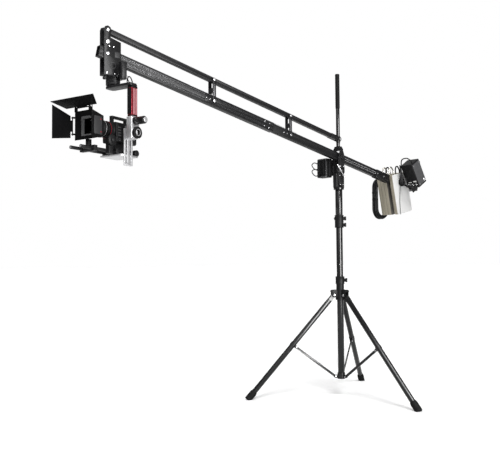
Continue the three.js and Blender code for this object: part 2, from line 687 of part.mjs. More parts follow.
function makeTiltLever() {
  const start = -cheekFar - clearance;
  const stem = bar(tiltLever.stemRadius, start - tiltLever.stemLength, start, 'y', facets.small);
  const reach = tiltLever.rodLength * half;
  const cross = join(
    bar(tiltLever.rodRadius, -reach, reach, 'z', facets.small),
    ball(tiltLever.ballRadius).translate([0, 0, -reach]),
  ).rotate([0, -tiltLever.lean, 0]).translate([0, start - tiltLever.stemLength + tiltLever.stemRadius, 0]);
  const placed = join(stem, cross).translate([tiltLever.x, 0, pivotHeight - tiltLever.below]);
  piece('tilt_lock_lever', placed, finishes.silver, model);
}

const rodAxisHeight = pivotHeight + arm.spacing;

function makePole() {
  const bridgeTop = pivotHeight + poleBracket.bridgeAbove + poleBracket.bridgeHeight;
  const bottom = bridgeTop - poleBracket.socketDepth + clearance;
  const top = pivotHeight + pole.above;
  const gripBottom = top - pole.gripLength;
  const gripInner = top - pole.gripCap;
  const tube = bar(pole.radius, bottom, gripInner - clearance, 'z', facets.medium);
  const bore = bar(pole.radius - pole.wall, bottom - overrun, top + overrun, 'z', facets.medium);
  const clampHalf = rodClamp.height * half;
  const wide = rodClamp.radius * 2;
  const clamp = cut(
    bar(rodClamp.radius, -clampHalf, clampHalf, 'z', facets.medium),
    block([-wide, wide], [rodClamp.flat, wide], [-rodClamp.height, rodClamp.height]),
    block([-wide, wide], [-wide, -rodClamp.flat], [-rodClamp.height, rodClamp.height]),
  );
  const pinReach = rod.width * half + fork.thick + link.headHeight;
  const trunnion = bar(rodClamp.trunnionRadius, -pinReach, pinReach, 'y', facets.small);
  const body = join(tube, join(clamp, trunnion).translate([0, 0, rodAxisHeight]));
  piece('upright_pole', cut(body, bore), finishes.blackPaint, model);
  const grip = cut(
    bar(pole.gripRadius, gripBottom, top, 'z', facets.medium),
    bar(pole.radius + clearance, gripBottom - overrun, gripInner, 'z', facets.medium),
  );
  piece('pole_grip', grip, finishes.rubber, model);
}

// Power pack on the far side of the yoke, with its two jumper leads
function makePowerPack() {
  const leadSteps = 16;
  const bottom = pivotHeight - pack.below;
  const top = bottom + pack.height;
  const body = sheet(rounded([pack.front, pack.back], [pack.near, pack.far], pack.edge), bottom, top);
  const slotLow = bottom + pack.slotFloor;
  const slots = pack.slotPlaceShares.map((share) => {
    const y = pack.near + (pack.far - pack.near) * share;
    const slot = rounded(
      [y - pack.slotHalf, y + pack.slotHalf], [slotLow, slotLow + pack.slotHeight], pack.slotHalf - overrun,
    );
    return prism(slot, pack.front - overrun, pack.front + pack.slotDepth);
  });
  const farCheek = cheekFar + clearance;
  const armZ = [bottom + pack.armFloor, bottom + pack.armFloor + pack.armHeight];
  const armBlock = block([-pack.armHalf * 2, 0], [farCheek, pack.near + overrun], armZ);
  const armFace = block([-pack.armHalf * 2, pack.back - overrun], [pack.near, pack.near + pack.edge], armZ);
  piece('power_pack', join(cut(body, ...slots), armBlock, armFace), finishes.blackPlastic, model);
  const face = pack.front - clearance;
  const leadFace = face - lead.plugThick;
  const { y, topsBelow } = leadPlace;
  const plugLow = bottom + lead.plugFloor;
  const strip = block(
    [leadFace, face], [y - lead.plugHalf, y + lead.plugHalf], [plugLow, plugLow + lead.plugHeight],
  );
  const loops = topsBelow.map((below) => {
    const high = top - below;
    const low = high - lead.drop;
    return tube(smooth([
      [leadFace + lead.diameter * half, y, high],
      [leadFace - lead.diameter, y, high],
      ...leadReachShares.map((share, i) => [
        leadFace - lead.reach * share, y + lead.sideways * share, high - lead.drop * leadDropShares[i],
      ]),
      [leadFace - lead.diameter, y, low],
      [leadFace + lead.diameter * half, y, low],
    ], leadSteps), lead.diameter * half, facets.cord);
  });
  piece('power_leads', join(strip, ...loops), finishes.cable, model);
}

// The arm, drawn about its pivot with x backwards along the beam
const armFrame = group(model, [0, 0, pivotHeight], { turnY: arm.elevation * radian });
const tilt = arm.elevation * radian;

function grooved(width, height) {
  const w = width * half;
  const h = height * half;
  const g = groove.height * half;
  const right = groove.placeShares.map((share) => share * height).flatMap((z) => [
    [w, z - g], [w - groove.depth, z - g + groove.depth],
    [w - groove.depth, z + g - groove.depth], [w, z + g],
  ]);
  const left = right.map(([y, z]) => [-y, z]).reverse();
  return outline([[w, -h], ...right, [w, h], [-w, h], ...left, [-w, -h]]);
}

function rectangle(width, height) {
  const w = width * half;
  const h = height * half;
  return outline([[-w, -h], [w, -h], [w, h], [-w, h]]);
}

function crossHole(radius, x, z = 0) {
  return turningHole(radius, -frontBeam.width * 2, frontBeam.width * 2, 'y').translate([x, 0, z]);
}

const linkXs = [arm.linkBefore - frontBeam.start, -arm.linkAfter - frontBeam.start];
const frontX = -arm.front;

// A plate with two bolts on each side of the beam, ahead of a link
function sidePlates(linkX, width) {
  const p = sidePlate;
  const w = width * half;
  return [-1, 1].map((side) => {
    const inner = w - clearance;
    const ys = side < 0 ? [-w - p.thick, -inner] : [inner, w + p.thick];
    const bolts = side < 0 ? [-w - p.thick - p.boltHeight, -w] : [w, w + p.thick + p.boltHeight];
    const plate = panel(outline([
      [linkX - p.front, -p.half], [linkX - p.back, -p.half], [linkX - p.back, p.half - p.cornerDrop],
      [linkX - p.back - p.cornerRun, p.half], [linkX - p.front, p.half],
    ]), ...ys);
    const heads = p.boltShares.map((share) => bar(p.boltRadius, ...bolts, 'y', facets.hex)
      .translate([linkX - p.front + (p.front - p.back) * share, 0, 0]));
    return join(plate, ...heads);
  });
}

function makeBeams() {
  const rearFront = -frontBeam.start - rearBeam.overlap;
  const innerRear = prism(
    rectangle(rearBeam.width - 2 * rearBeam.wall, rearBeam.height - 2 * rearBeam.wall),
    rearFront - overrun, rearBeam.end + overrun,
  );
  const plain = prism(rectangle(rearBeam.width, rearBeam.height), rearFront, groove.rearStart);
  const ribbed = prism(grooved(rearBeam.width, rearBeam.height), groove.rearStart, rearBeam.end);
  const rear = cut(
    join(plain, ribbed, ...sidePlates(linkXs[0], rearBeam.width)), innerRear,
    crossHole(pivot.shaftRadius, 0),
    crossHole(link.pinRadius, linkXs[0]),
  );
  piece('beam_rear', rear, finishes.blackAnodised, armFrame);
  const tip = frontX - frontBeam.beyond;
  const outer = prism(grooved(frontBeam.width, frontBeam.height), tip, -frontBeam.start);
  const inner = prism(
    rectangle(frontBeam.width - 2 * frontBeam.wallSide, frontBeam.height - 2 * frontBeam.wallTop),
    tip - overrun, -frontBeam.start + overrun,
  );
  const front = cut(
    join(outer, ...sidePlates(linkXs[1], frontBeam.width)), inner,
    crossHole(frontPlate.pinRadius, frontX),
    crossHole(link.pinRadius, linkXs[1]),
  );
  piece('beam_front', front, finishes.blackAnodised, armFrame);
}

function makeEndFitting() {
  const e = endFitting;
  const inner = rearBeam.width * half + clearance;
  const outer = inner + e.plate;
  const h = e.height * half;
  const barHalf = e.barHeight * half;
  const start = rearBeam.end - e.overlap;
  const blockEnd = rearBeam.end + e.blockLength;
  const barEnd = rearBeam.end + e.barLength;
  const plugStart = rearBeam.end + clearance;
  const plates = [[-outer, -inner], [inner, outer]].map((ys) => block([start, blockEnd], ys, [-h, h]));
  const plug = block([plugStart, blockEnd], [-outer, outer], [-h, h]);
  const tongue = block([plugStart, barEnd], [-e.barWidth * half, e.barWidth * half], [-barHalf, barHalf]);
  const heads = e.boltPlaces.map((x) => pinHeads(
    start + x, 0, outer, e.boltRadius, e.boltHeight, facets.hex,
  ));
  const hole = turningHole(weightBar.radius, -e.barWidth, e.barWidth, 'y', facets.medium)
    .translate([barAlong, 0, 0]);
  const m = boxMount;
  const boxSide = box.far + clearance;
  const crossBar = block([barEnd - m.length, barEnd], [boxSide, e.barWidth * half], [-barHalf, barHalf]);
  const flange = block([m.front, m.back], [boxSide, boxSide + m.thick], [m.low, m.high])
    .rotate([0, -box.lean, 0]).translate([boxAlong, 0, box.above]);
  const shape = cut(join(...plates, plug, tongue, crossBar, flange, ...heads), hole);
  piece('boom_end_fitting', shape, finishes.blackAnodised, armFrame);
}

// The upper rod and the parts that stay plumb, placed by their pivots on the beam
function onArm(x, z = 0) {
  return [x * Math.cos(tilt) + z * Math.sin(tilt), 0, pivotHeight - x * Math.sin(tilt) + z * Math.cos(tilt)];
}

function makeUpperRod() {
  const frame = group(model, [0, 0, rodAxisHeight], { turnY: tilt });
  const w = rod.width * half;
  const tube = prism(rounded([-w, w], [-w, w], rod.wall), frontX + rod.frontGap, -rod.rearGap, 2);
  const inside = [-w + rod.wall, w - rod.wall];
  const bore = prism(rounded(inside, inside, rod.wall * half), frontX, 0, 2);
  const forkPlates = (x, sign) => [-1, 1].map((side) => {
    const inner = w + fork.inset;
    const [y0, y1] = side < 0 ? [-inner - fork.thick, -w + fork.inset] : [w - fork.inset, inner + fork.thick];
    const cheekY = side < 0 ? [-inner - fork.thick, -inner] : [inner, inner + fork.thick];
    const bodyX = [x, x + sign * fork.length];
    const body = block([Math.min(...bodyX), Math.max(...bodyX)], cheekY, [-fork.radius, fork.radius]);
    const seatX = [x + sign * (rod.rearGap + fork.radius), x + sign * fork.length];
    const seat = block(
      [Math.min(...seatX), Math.max(...seatX)], [y0, y1], [-fork.radius * half, fork.radius * half],
    );
    const eye = bar(fork.radius, ...cheekY, 'y', facets.small).translate([x, 0, 0]);
    return cut(join(body, seat, eye), crossHole(rodClamp.trunnionRadius, x));
  });
  const holes = linkXs.map((x) => crossHole(link.pinRadius, x));
  const shape = cut(join(cut(tube, bore), ...forkPlates(0, -1)), ...holes);
  const nose = join(
    block([frontX, frontX + rod.frontGap + fork.length], inside, inside),
    bar(w - rod.wall, ...inside, 'y', facets.small).translate([frontX, 0, 0]),
  );
  const whole = cut(join(shape, nose), crossHole(frontPlate.pinRadius, frontX));
  piece('upper_rod', whole, finishes.blackAnodised, frame);
}

function makeLinks() {
  linkXs.forEach((x, i) => {
    const frame = group(model, onArm(x));
    const inner = (i ? frontBeam.width : rearBeam.width) * half + link.gap;
    const outer = inner + link.thick;
    const straps = [[-outer, -inner], [inner, outer]].map(([y0, y1]) => join(
      block([-link.halfWidth, link.halfWidth], [y0, y1], [0, arm.spacing]),
      bar(link.halfWidth, y0, y1, 'y', facets.small),
      bar(link.halfWidth, y0, y1, 'y', facets.small).translate([0, 0, arm.spacing]),
    ));
    const middle = arm.spacing * half;
    const web = block(
      [-link.halfWidth, link.halfWidth], [-outer, outer], [middle - link.webHalf, middle + link.webHalf],
    );
    const pins = [0, arm.spacing].map((z) => join(
      bar(link.pinRadius, -outer, outer, 'y', facets.small).translate([0, 0, z]),
      pinHeads(0, z, outer, link.headRadius, link.headHeight, facets.hex),
    ));
    piece(`link_${i + 1}`, join(...straps, web, ...pins), finishes.greyAnodised, frame);
  });
}

// Weights on their cross bar, and the nut that clamps them
function weightShape(y0, y1) {
  const w = weight.width * half;
  const top = weight.above;
  const plate = panel(rounded([-w, w], [top - weight.height, top], weight.corner), y0, y1);
  const hole = turningHole(weightBar.radius, y0 - overrun, y1 + overrun, 'y', facets.medium);
  const y = (y0 + y1) * half;
  const foothold = top - weight.handleSink;
  const handleSteps = 10;
  const arch = [
    [-weight.handleHalf, y, foothold],
    [-weight.handleHalf, y, top + weight.handleHeight * half],
    [-weight.handleHalf * half, y, top + weight.handleHeight * weight.handleShoulderShare],
    [0, y, top + weight.handleHeight],
    [weight.handleHalf * half, y, top + weight.handleHeight * weight.handleShoulderShare],
    [weight.handleHalf, y, top + weight.handleHeight * half],
    [weight.handleHalf, y, foothold],
  ];
  return join(cut(plate, hole), tube(smooth(arch, handleSteps), weight.handleRadius, facets.cord));
}

const weightPitch = weight.thick + weight.gap;
const farPlaces = [...Array(farWeights).keys()].map((i) => weight.start + i * weightPitch);
const weightPlaces = [-weight.start - weight.thick, ...farPlaces];
const farStack = weight.start + farWeights * weightPitch;
const barPlace = onArm(barAlong);

function makeWeights() {
  const frame = group(model, barPlace, { turnY: weight.lean * radian });
  weightPlaces.forEach((y, i) => {
    piece(`weight_${i + 1}`, weightShape(y, y + weight.thick), finishes.steelPlate, frame);
  });
  const bolt = join(
    bar(weightBar.radius, -weightBar.nearEnd, weightBar.farEnd, 'y', facets.medium),
    bar(weightBar.flangeRadius, farStack, farStack + weightBar.flangeHeight, 'y', facets.medium),
    bar(
      weightBar.flangeRadius, weightBar.farEnd - weightBar.flangeHeight, weightBar.farEnd, 'y', facets.medium,
    ),
  );
  piece('weight_bar', bolt, finishes.silver, frame);
  const nut = weightNut;
  const from = -weight.start - weight.thick - weight.gap;
  const notch = bar(nut.notchRadius, from - nut.height - overrun, from + overrun, 'y', facets.small)
    .translate([0, 0, nut.radius * nut.notchPlaceShare]);
  const notches = [...Array(nut.notchCount).keys()].map((i) => notch.rotate(
    [0, i * 360 / nut.notchCount, 0],
  ));
  piece('weight_nut', cut(
    bar(nut.radius, from - nut.height, from, 'y', facets.medium),
    turningHole(weightBar.radius, from - nut.height - overrun, from + overrun, 'y', facets.medium),
    ...notches,
  ), finishes.blackPlastic, frame);
}

// The spare cable: a hank of loops on the far end of the weight bar, its tail plugged into the control box
function hankLoopPlace(step, radius) {
  const { run, arcSteps, runSteps } = hank;
  const bend = (i) => Math.PI * i / arcSteps;
  if (step < arcSteps) return [radius * Math.cos(bend(step)), -run - radius * Math.sin(bend(step))];
  const up = step - arcSteps;
  if (up < runSteps) return [-radius, -run + 2 * run * up / runSteps];
  const over = up - runSteps;
  if (over < arcSteps) return [-radius * Math.cos(bend(over)), run + radius * Math.sin(bend(over))];
  return [radius, run - 2 * run * (over - arcSteps) / runSteps];
}

// A place out from the control box's far face, from the middle of the weight bar
function outOfBox(out) {
  const place = onArm(boxAlong, box.above);
  const lean = (box.lean - arm.elevation) * radian;
  return [
    place[0] + box.plugAlong * Math.cos(lean) - box.plugUp * Math.sin(lean) - barPlace[0], box.far + out,
    place[2] + box.plugAlong * Math.sin(lean) + box.plugUp * Math.cos(lean) - barPlace[2],
  ];
}

function hankPath() {
  const loopSteps = 2 * (hank.arcSteps + hank.runSteps);
  const layerSteps = hank.turns * loopSteps;
  const spiralSteps = layerSteps - hank.runSteps;
  const seat = hank.radius - hank.diameter * half - weightBar.radius - clearance;
  const low = Math.sqrt(seat * seat - hank.aside * hank.aside) + hank.run;
  const firstLayer = farStack + weightBar.flangeHeight + hank.gap + hank.diameter * half;
  const inside = hank.radius - hank.aside;
  const path = [[inside - hank.diameter, firstLayer, hank.startTail - hank.run - low]];
  for (let step = 0; step <= hank.layers * layerSteps - hank.runSteps; step += 1) {
    const layer = Math.floor(step / layerSteps);
    const within = step - layer * layerSteps;
    const outwards = Math.min(within, spiralSteps) / loopSteps;
    const spiral = layer % 2 ? spiralSteps / loopSteps - outwards : outwards;
    const climb = Math.max(within - spiralSteps, 0) / hank.runSteps;
    const [x, z] = hankLoopPlace(step % loopSteps, hank.radius + spiral * hank.pitch);
    path.push([x - hank.aside, firstLayer + (layer + climb) * hank.pitch, z - low]);
  }
  const leave = path[path.length - 1];
  const end = [2, 1, 0].map((diameters) => outOfBox(clearance + hank.diameter * diameters));
  const tail = smooth([leave, ...hankTail, ...end], hankTailSteps);
  return [...path, ...tail.slice(1)];
}

function makeHank() {
  const path = hankPath();
  const gap = leastGap(path, hank.diameter, hank.arcSteps + hank.runSteps);
  console.log(`cable hank: least gap to itself ${gap.toFixed(2)} mm`);
  piece('cable_hank', tube(path, hank.diameter * half, facets.cord), finishes.cable, group(model, barPlace));
}

// Control box with a knob and a stick on the face towards the operator
function makeControlBox() {
  const frame = group(armFrame, [boxAlong, 0, box.above], { turnY: -box.lean * radian });
  const d = box.depth * half;
  const t = box.tall * half;
  const shell = panel(rounded([-d, d], [-t, t], box.edge), box.near, box.far, 3);
  const middle = (box.near + box.far) * half;
  const boot = bar(stick.bootRadius, d - clearance, d + stick.bootHeight, 'x', facets.medium)
    .translate([0, middle + stick.side, stick.along]);
  piece('control_box', join(shell, boot), finishes.blackPlastic, frame);
  const stickFrom = d + stick.bootHeight + clearance;
  const stickPivot = stickFrom + stick.radius;
  piece('control_stick', join(
    ball(stick.radius).translate([stickPivot, 0, 0]),
    bar(stick.radius, stickPivot, stickPivot + stick.length, 'x', facets.small),
    ball(stick.ballRadius).translate([stickPivot + stick.length, 0, 0]),
  ).translate([0, middle + stick.side, stick.along]), finishes.blackPlastic, frame);
  piece('speed_knob', bar(controlKnob.radius, d + clearance, d + controlKnob.height, 'x', facets.medium)
    .translate([0, middle + controlKnob.side, controlKnob.along]), finishes.blackPlastic, frame);
}

// Pan, tilt and camera end
const frontPivot = onArm(frontX);
const panAxis = [frontPivot[0] + headBase.back, 0, 0];
const hangerBottom = frontPivot[2] - frontPlate.hangerLow;

function makeFrontPlates() {
  const frame = group(model, frontPivot);
  const inner = frontBeam.width * half + link.gap;
  const outer = inner + frontPlate.thick;
  const p = frontPlate;
  const side = outline([
    [-p.forward, -p.hangerLow], [p.hangerBack, -p.hangerLow], [p.back, -p.low],
    [p.back, p.high - p.back * Math.tan(tilt)],
    [p.earRadius, p.high], [p.earRadius, arm.spacing], [-p.forward, arm.spacing],
  ]);
  const plates = [[-outer, -inner], [inner, outer]].map(([y0, y1]) => join(
    panel(side, y0, y1),
    bar(p.forward, y0, y1, 'y', facets.small).translate([0, 0, arm.spacing]),
  ));
  const floor = block([-p.forward, p.hangerBack], [-outer, outer], [-p.hangerLow, -p.hangerLow + p.floor]);
  const spacer = bar(p.spacerRadius, -outer, outer, 'y', facets.small).translate([0, 0, arm.spacing * half]);
  const pins = [0, arm.spacing].map((z) => join(
    bar(p.pinRadius, -outer, outer, 'y', facets.small).translate([0, 0, z]),
    pinHeads(0, z, outer, p.headRadius, p.headHeight, facets.hex),
  ));
  piece('front_plates', join(...plates, floor, spacer, ...pins), finishes.greyAnodised, frame);
}

const panTop = hangerBottom - clearance;
const housingBottom = panTop - headBase.housingHeight;

function makePanBase() {
  const frame = group(model, panAxis);
  const top = panTop;
  const star = [...Array(headBase.armCount).keys()].map((i) => block(
    [-headBase.starRadius, headBase.starRadius], [-headBase.starThick, headBase.starThick],
    [top - headBase.starThick, top],
  ).rotate([0, 0, i * 180 / headBase.armCount]));
  const housing = join(
    ...star,
    bar(headBase.housingRadius, housingBottom, top, 'z', facets.large),
  );
  const m = panMotor;
  const low = top - m.drop;
  const section = rounded([m.x - m.halfX, m.x + m.halfX], [m.y - m.halfY, m.y + m.halfY], m.halfY * half);
  const body = sheet(section, low, low + m.height);
  const seat = block(
    [m.x - m.shaftRadius, m.x + m.shaftRadius], [m.y, 0],
    [top - headBase.starThick * 2, top - headBase.starThick + clearance],
  );
  piece('pan_base', join(housing, body, seat), finishes.blackAnodised, frame);
}

const rigFrame = group(model, panAxis, { turnZ: rig.turn * radian });

const armTop = housingBottom - clearance - headArm.bossHeight;
const columnTop = armTop - headArm.thick - clearance;
const gearTop = columnTop - sideColumn.length - clearance;
const tiltHeight = gearTop - gearbox.axisBelow;

function makeHead() {
  const a = headArm;
  const boss = bar(headBase.collarRadius, armTop - clearance, armTop + a.bossHeight, 'z', facets.large);
  const plate = sheet(rounded([a.front, a.back], [a.near, a.far], a.edge), armTop - a.thick, armTop);
  piece('head_arm', join(plate, boss), finishes.blackAnodised, rigFrame);
  const c = sideColumn;
  const tower = block(
    [c.x - c.halfX, c.x + c.halfX], [c.y - c.halfY, c.y + c.halfY], [columnTop - c.length, columnTop],
  );
  piece('side_column', tower, finishes.red, rigFrame);
  const g = gearbox;
  const t = [rig.tiltX, 0, tiltHeight];
  const casing = panel(rounded([g.front, g.back], [gearTop - g.height, gearTop], g.edge), g.near, g.far);
  const drum = bar(g.ringOuter, g.near - g.ringDepth, g.near + overrun, 'y', facets.medium).translate(t);
  const well = bar(g.ringInner, g.near - g.ringDepth - overrun, g.near - clearance, 'y', facets.medium)
    .translate(t);
  const shaftHole = turningHole(cradle.shaftRadius, g.far - g.edge * 2, g.far + overrun, 'y').translate(t);
  piece('tilt_gearbox', cut(join(casing, drum), well, shaftHole), finishes.silver, rigFrame);
  const m = tiltMotor;
  const from = g.near - clearance;
  piece('tilt_motor', join(
    bar(m.radius, from - m.length, from, 'y', facets.medium),
    bar(m.capRadius, from - m.length - m.capLength, from - m.length + overrun, 'y', facets.medium),
  ).translate([m.x, 0, gearTop - m.belowTop]), finishes.blackPlastic, rigFrame);
}

const cradleTop = tiltHeight + cradle.above;
const cradleBottom = tiltHeight - cradle.below;
const platformTop = tiltHeight - cradle.platformBelow;

function makeCradle() {
  const c = cradle;
  const plateFarY = c.plateNear + c.plateThick;
  const face = rounded([c.front, c.back], [cradleBottom, cradleTop], c.ribHalf);
  const plate = panel(face, c.plateNear, plateFarY);
  const slotLow = cradleBottom + c.slotFloor;
  const slots = c.slotPlaceShares.map((share) => {
    const x = c.front + (c.back - c.front) * share;
    const slot = rounded(
      [x - c.slotHalf, x + c.slotHalf], [slotLow, slotLow + c.slotHeight], c.slotHalf - clearance,
    );
    return panel(slot, c.plateNear - overrun, plateFarY + overrun);
  });
  const shaft = bar(c.shaftRadius, gearbox.far - gearbox.edge, c.plateNear + clearance, 'y', facets.medium)
    .translate([rig.tiltX, 0, tiltHeight]);
  const table = block(
    [c.platformFront, c.platformBack], [plateFarY - clearance, c.platformFar],
    [platformTop - c.platformThick, platformTop],
  );
  piece('camera_cradle', join(cut(plate, ...slots), shaft, table), finishes.silver, rigFrame);
}

const baseLow = platformTop + clearance;
const baseTop = baseLow + baseBlock.height;
const railHeight = baseLow + rails.lift;
const cameraBottom = baseTop + baseBlock.riserHeight + clearance;
const cameraTop = cameraBottom + camera.height;
const lensHeight = cameraBottom + lens.lift;
const lensBack = camera.front - camera.mountLength - clearance;
const lensFront = lensBack - lens.lengths.reduce((sum, length) => sum + length);
const matteBack = lensFront - clearance;
const matteFront = matteBack - matteBox.depth;

function makeRodBase() {
  const b = baseBlock;
  const r = rails;
  const base = block([b.front, b.back], [-b.halfWidth, b.halfWidth], [baseLow, baseTop]);
  const riser = block(
    [b.riserFront, b.riserBack], [-b.riserHalf, b.riserHalf], [baseTop - clearance, baseTop + b.riserHeight],
  );
  const tube = bar(r.radius, matteFront - r.beyond, r.back, 'x', facets.small);
  const tubes = [-r.spacing, r.spacing].map((y) => tube.translate([0, y, railHeight]));
  const bridgeX = matteFront + r.bridgeBehind;
  const bridge = block(
    [bridgeX - r.bridgeHalf, bridgeX + r.bridgeHalf], [-r.bridgeWidth, r.bridgeWidth],
    [railHeight - r.bridgeHeight, railHeight + r.bridgeHeight],
  );
  const m = matteBox;
  const postFront = bridgeX - r.postHalf;
  const taper = (m.frontHalf - m.backHalf) * (postFront - matteFront) / m.depth;
  const postTop = lensHeight - m.frontHalf + taper - clearance;
  const post = block([postFront, bridgeX + r.postHalf], [-r.postHalf, r.postHalf], [railHeight, postTop]);
  const f = focus;
  const focusX = camera.front - f.ahead;
  const focusHeight = railHeight + f.lift;
  const bracketLow = railHeight - r.radius - f.hubReach;
  const holder = block(
    [focusX - f.half, focusX + f.half], [f.near, f.far], [bracketLow, focusHeight + f.topRise],
  );
  const hole = turningHole(f.pinRadius, f.near - overrun, f.near + f.pinReach + clearance, 'y')
    .translate([focusX, 0, focusHeight]);
  const shape = cut(join(base, riser, ...tubes, bridge, post, holder), hole);
  piece('rod_base', shape, finishes.blackAnodised, rigFrame);
  const wheelFar = f.near - clearance;
  piece('focus_wheel', join(
    bar(f.wheelRadius, wheelFar - f.wheelThick, wheelFar, 'y', facets.medium),
    bar(f.hubRadius, wheelFar - f.wheelThick - f.hubReach, wheelFar, 'y', facets.medium),
    bar(f.pinRadius, wheelFar - overrun, f.near + f.pinReach, 'y', facets.small),
  ).translate([focusX, 0, focusHeight]), finishes.blackPlastic, rigFrame);
}

function makeCamera() {
  const c = camera;
  const section = rounded([-c.halfWidth, c.halfWidth], [cameraBottom, cameraTop], c.edge);
  const body = prism(section, c.front, c.back, 3);
  const mount = bar(c.mountRadius, c.front - c.mountLength, c.front + overrun, 'x', facets.large)
    .translate([0, 0, lensHeight]);
  const handleTop = cameraTop + c.handleRise;
  const width = [-c.handleHalf, c.handleHalf];
  const topBar = block([c.handleFront, c.handleBack], width, [handleTop - c.handleBar, handleTop]);
  const posts = [c.handleFront, c.handleBack - c.handleBar].map((x) => block(
    [x, x + c.handleBar], width, [cameraTop - overrun, handleTop],
  ));
  piece('camera_body', join(body, mount, topBar, ...posts), finishes.blackPlastic, rigFrame);
  const places = lens.lengths.reduce((all, length) => [...all, all[all.length - 1] - length], [lensBack]);
  const sections = lens.lengths.map((length, i) => bar(
    lens.radii[i + 1], places[i + 1], places[i], 'x', facets.large,
  ));
  const barrel = join(...sections, bar(lens.radii[0], lensFront, lensBack, 'x', facets.large));
  const bore = bar(lens.bore, lensFront - overrun, lensFront + lens.boreDepth, 'x', facets.large);
  piece('lens', cut(barrel, bore).translate([0, 0, lensHeight]), finishes.blackPlastic, rigFrame);
}

// A box whose front and back rectangles differ, centred on the x axis
function taperedBox([frontY, frontZ], [backY, backZ], x0, x1) {
  const geometry = new THREE.BoxGeometry(1, 1, 1);
  const position = geometry.attributes.position;
  for (let i = 0; i < position.count; i += 1) {
    const back = position.getX(i) > 0;
    const y = Math.sign(position.getY(i)) * (back ? backY : frontY);
    const z = Math.sign(position.getZ(i)) * (back ? backZ : frontZ);
    position.setXYZ(i, back ? x1 : x0, y, z);
  }
  return solid(geometry);
}

function flagShape(points, tubeReach, webFrom, webTo) {
  const plate = sheet(outline(points), -flag.thick * half, flag.thick * half);
  const web = block([-flag.start - overrun, 0], [webFrom, webTo], [-flag.thick * half, flag.thick * half]);
  const rodShape = bar(flag.tubeRadius, -tubeReach, tubeReach, 'y', facets.cord);
  return join(plate, web, rodShape);
}

function makeMatteBox() {
  const m = matteBox;
  const inner = [m.halfWidth - m.wall, m.frontHalf - m.wall];
  const outer = taperedBox([m.halfWidth, m.frontHalf], [m.halfWidth, m.backHalf], matteFront, matteBack);
  const opening = [m.mouthHalf, m.mouthHigh];
  const mouth = taperedBox(inner, opening, matteFront - clearance, matteFront + m.mouthDepth);
  const gate = block(
    [matteFront, matteBack + overrun], [-m.mouthHalf, m.mouthHalf], [-m.mouthHigh, m.mouthHigh],
  );
  const t = topFlag;
  const topX = matteFront - t.ahead;
  const topZ = m.frontHalf + t.above;
  const topEars = [-1, 1].map((side) => {
    const place = side * t.earPlace;
    const ys = [place - flag.earThick * half, place + flag.earThick * half];
    return join(
      bar(flag.earRadius, ...ys, 'y', facets.small).translate([topX, 0, topZ]),
      block([topX - flag.earRadius, topX + flag.earRadius * 2], ys, [m.frontHalf - m.wall, topZ]),
    );
  });
  const f = sideFlag;
  const sideX = matteFront - f.ahead;
  const sideY = m.halfWidth + f.beyond;
  const sideEars = [-1, 1].flatMap((side) => [-1, 1].map((end) => {
    const place = end * f.earPlace;
    const zs = [place - flag.earThick * half, place + flag.earThick * half];
    const ys = [side * (m.halfWidth - m.wall), side * sideY].sort((p, q) => p - q);
    return join(
      bar(flag.earRadius, ...zs, 'z', facets.small).translate([sideX, side * sideY, 0]),
      block([sideX - flag.earRadius, sideX + flag.earRadius * 2], ys, zs),
    );
  }));
  const topHole = turningHole(flag.tubeRadius, -m.halfWidth, m.halfWidth, 'y').translate([topX, 0, topZ]);
  const sideHoles = [-1, 1].map((side) => turningHole(flag.tubeRadius, -m.halfWidth, m.halfWidth)
    .translate([sideX, side * sideY, 0]));
  const shell = cut(join(cut(outer, mouth, gate), ...topEars, ...sideEars), topHole, ...sideHoles);
  const frame = group(rigFrame, [0, 0, lensHeight]);
  piece('matte_box', shell, finishes.blackPlastic, frame);

  const topReach = t.earPlace + flag.earThick;
  const topWeb = (t.earPlace - flag.earThick) * flag.webShare;
  const topHinge = group(frame, [topX, 0, topZ], { turnY: t.rise * radian });
  piece('top_flag', flagShape([
    [-t.length, -t.outerHalf], [-flag.start, -t.rearHalf],
    [-flag.start, t.rearHalf], [-t.length, t.outerHalf],
  ], topReach, -topWeb, topWeb), finishes.blackPlastic, topHinge);

  const sideReach = f.earPlace + flag.earThick;
  const sideWeb = (f.earPlace - flag.earThick) * flag.webShare;
  const sideShape = flagShape([
    [-f.length, f.lowOuter], [-flag.start, f.low], [-flag.start, f.high], [-f.length, f.highOuter],
  ], sideReach, -sideWeb, sideWeb).rotate([90, 0, 0]);
  ['near', 'far'].forEach((name, i) => {
    const side = i ? 1 : -1;
    const hinge = group(frame, [sideX, side * sideY, 0], { turnZ: -side * f.swing * radian });
    piece(`side_flag_${name}`, sideShape, finishes.blackPlastic, hinge);
  });
}

function makeHeadLead() {
  const leadSteps = 20;
  const path = smooth(headLeadPath.map(([x, y, z]) => [x, y, armTop + z]), leadSteps);
  piece('head_lead', tube(path, headLead.diameter * half, facets.cord), finishes.cable, rigFrame);
}

makeColumn();
makeHub();
makeLegBracket();
makeLowerCollar();
makeLegs();
makeMast();
makeYoke();
makeTiltLever();
makePole();
makePowerPack();
makeBeams();
makeEndFitting();
makeUpperRod();
makeLinks();
makeWeights();
makeHank();
makeControlBox();
makeFrontPlates();
makePanBase();
makeHead();
makeCradle();
makeRodBase();
makeCamera();
makeMatteBox();
makeHeadLead();

// The origin: the middle of the underside of the whole crane's box
crane.updateMatrixWorld(true);
const bounds = new THREE.Box3().setFromObject(model, true);
const centre = bounds.getCenter(new THREE.Vector3());
model.position.set(-centre.x, -centre.y, -bounds.min.z);

export default crane;
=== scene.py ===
# Camera jib crane: looks, floor, lights and camera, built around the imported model.
import math

import bmesh
import bpy
from mathutils import Matrix, Quaternion, Vector


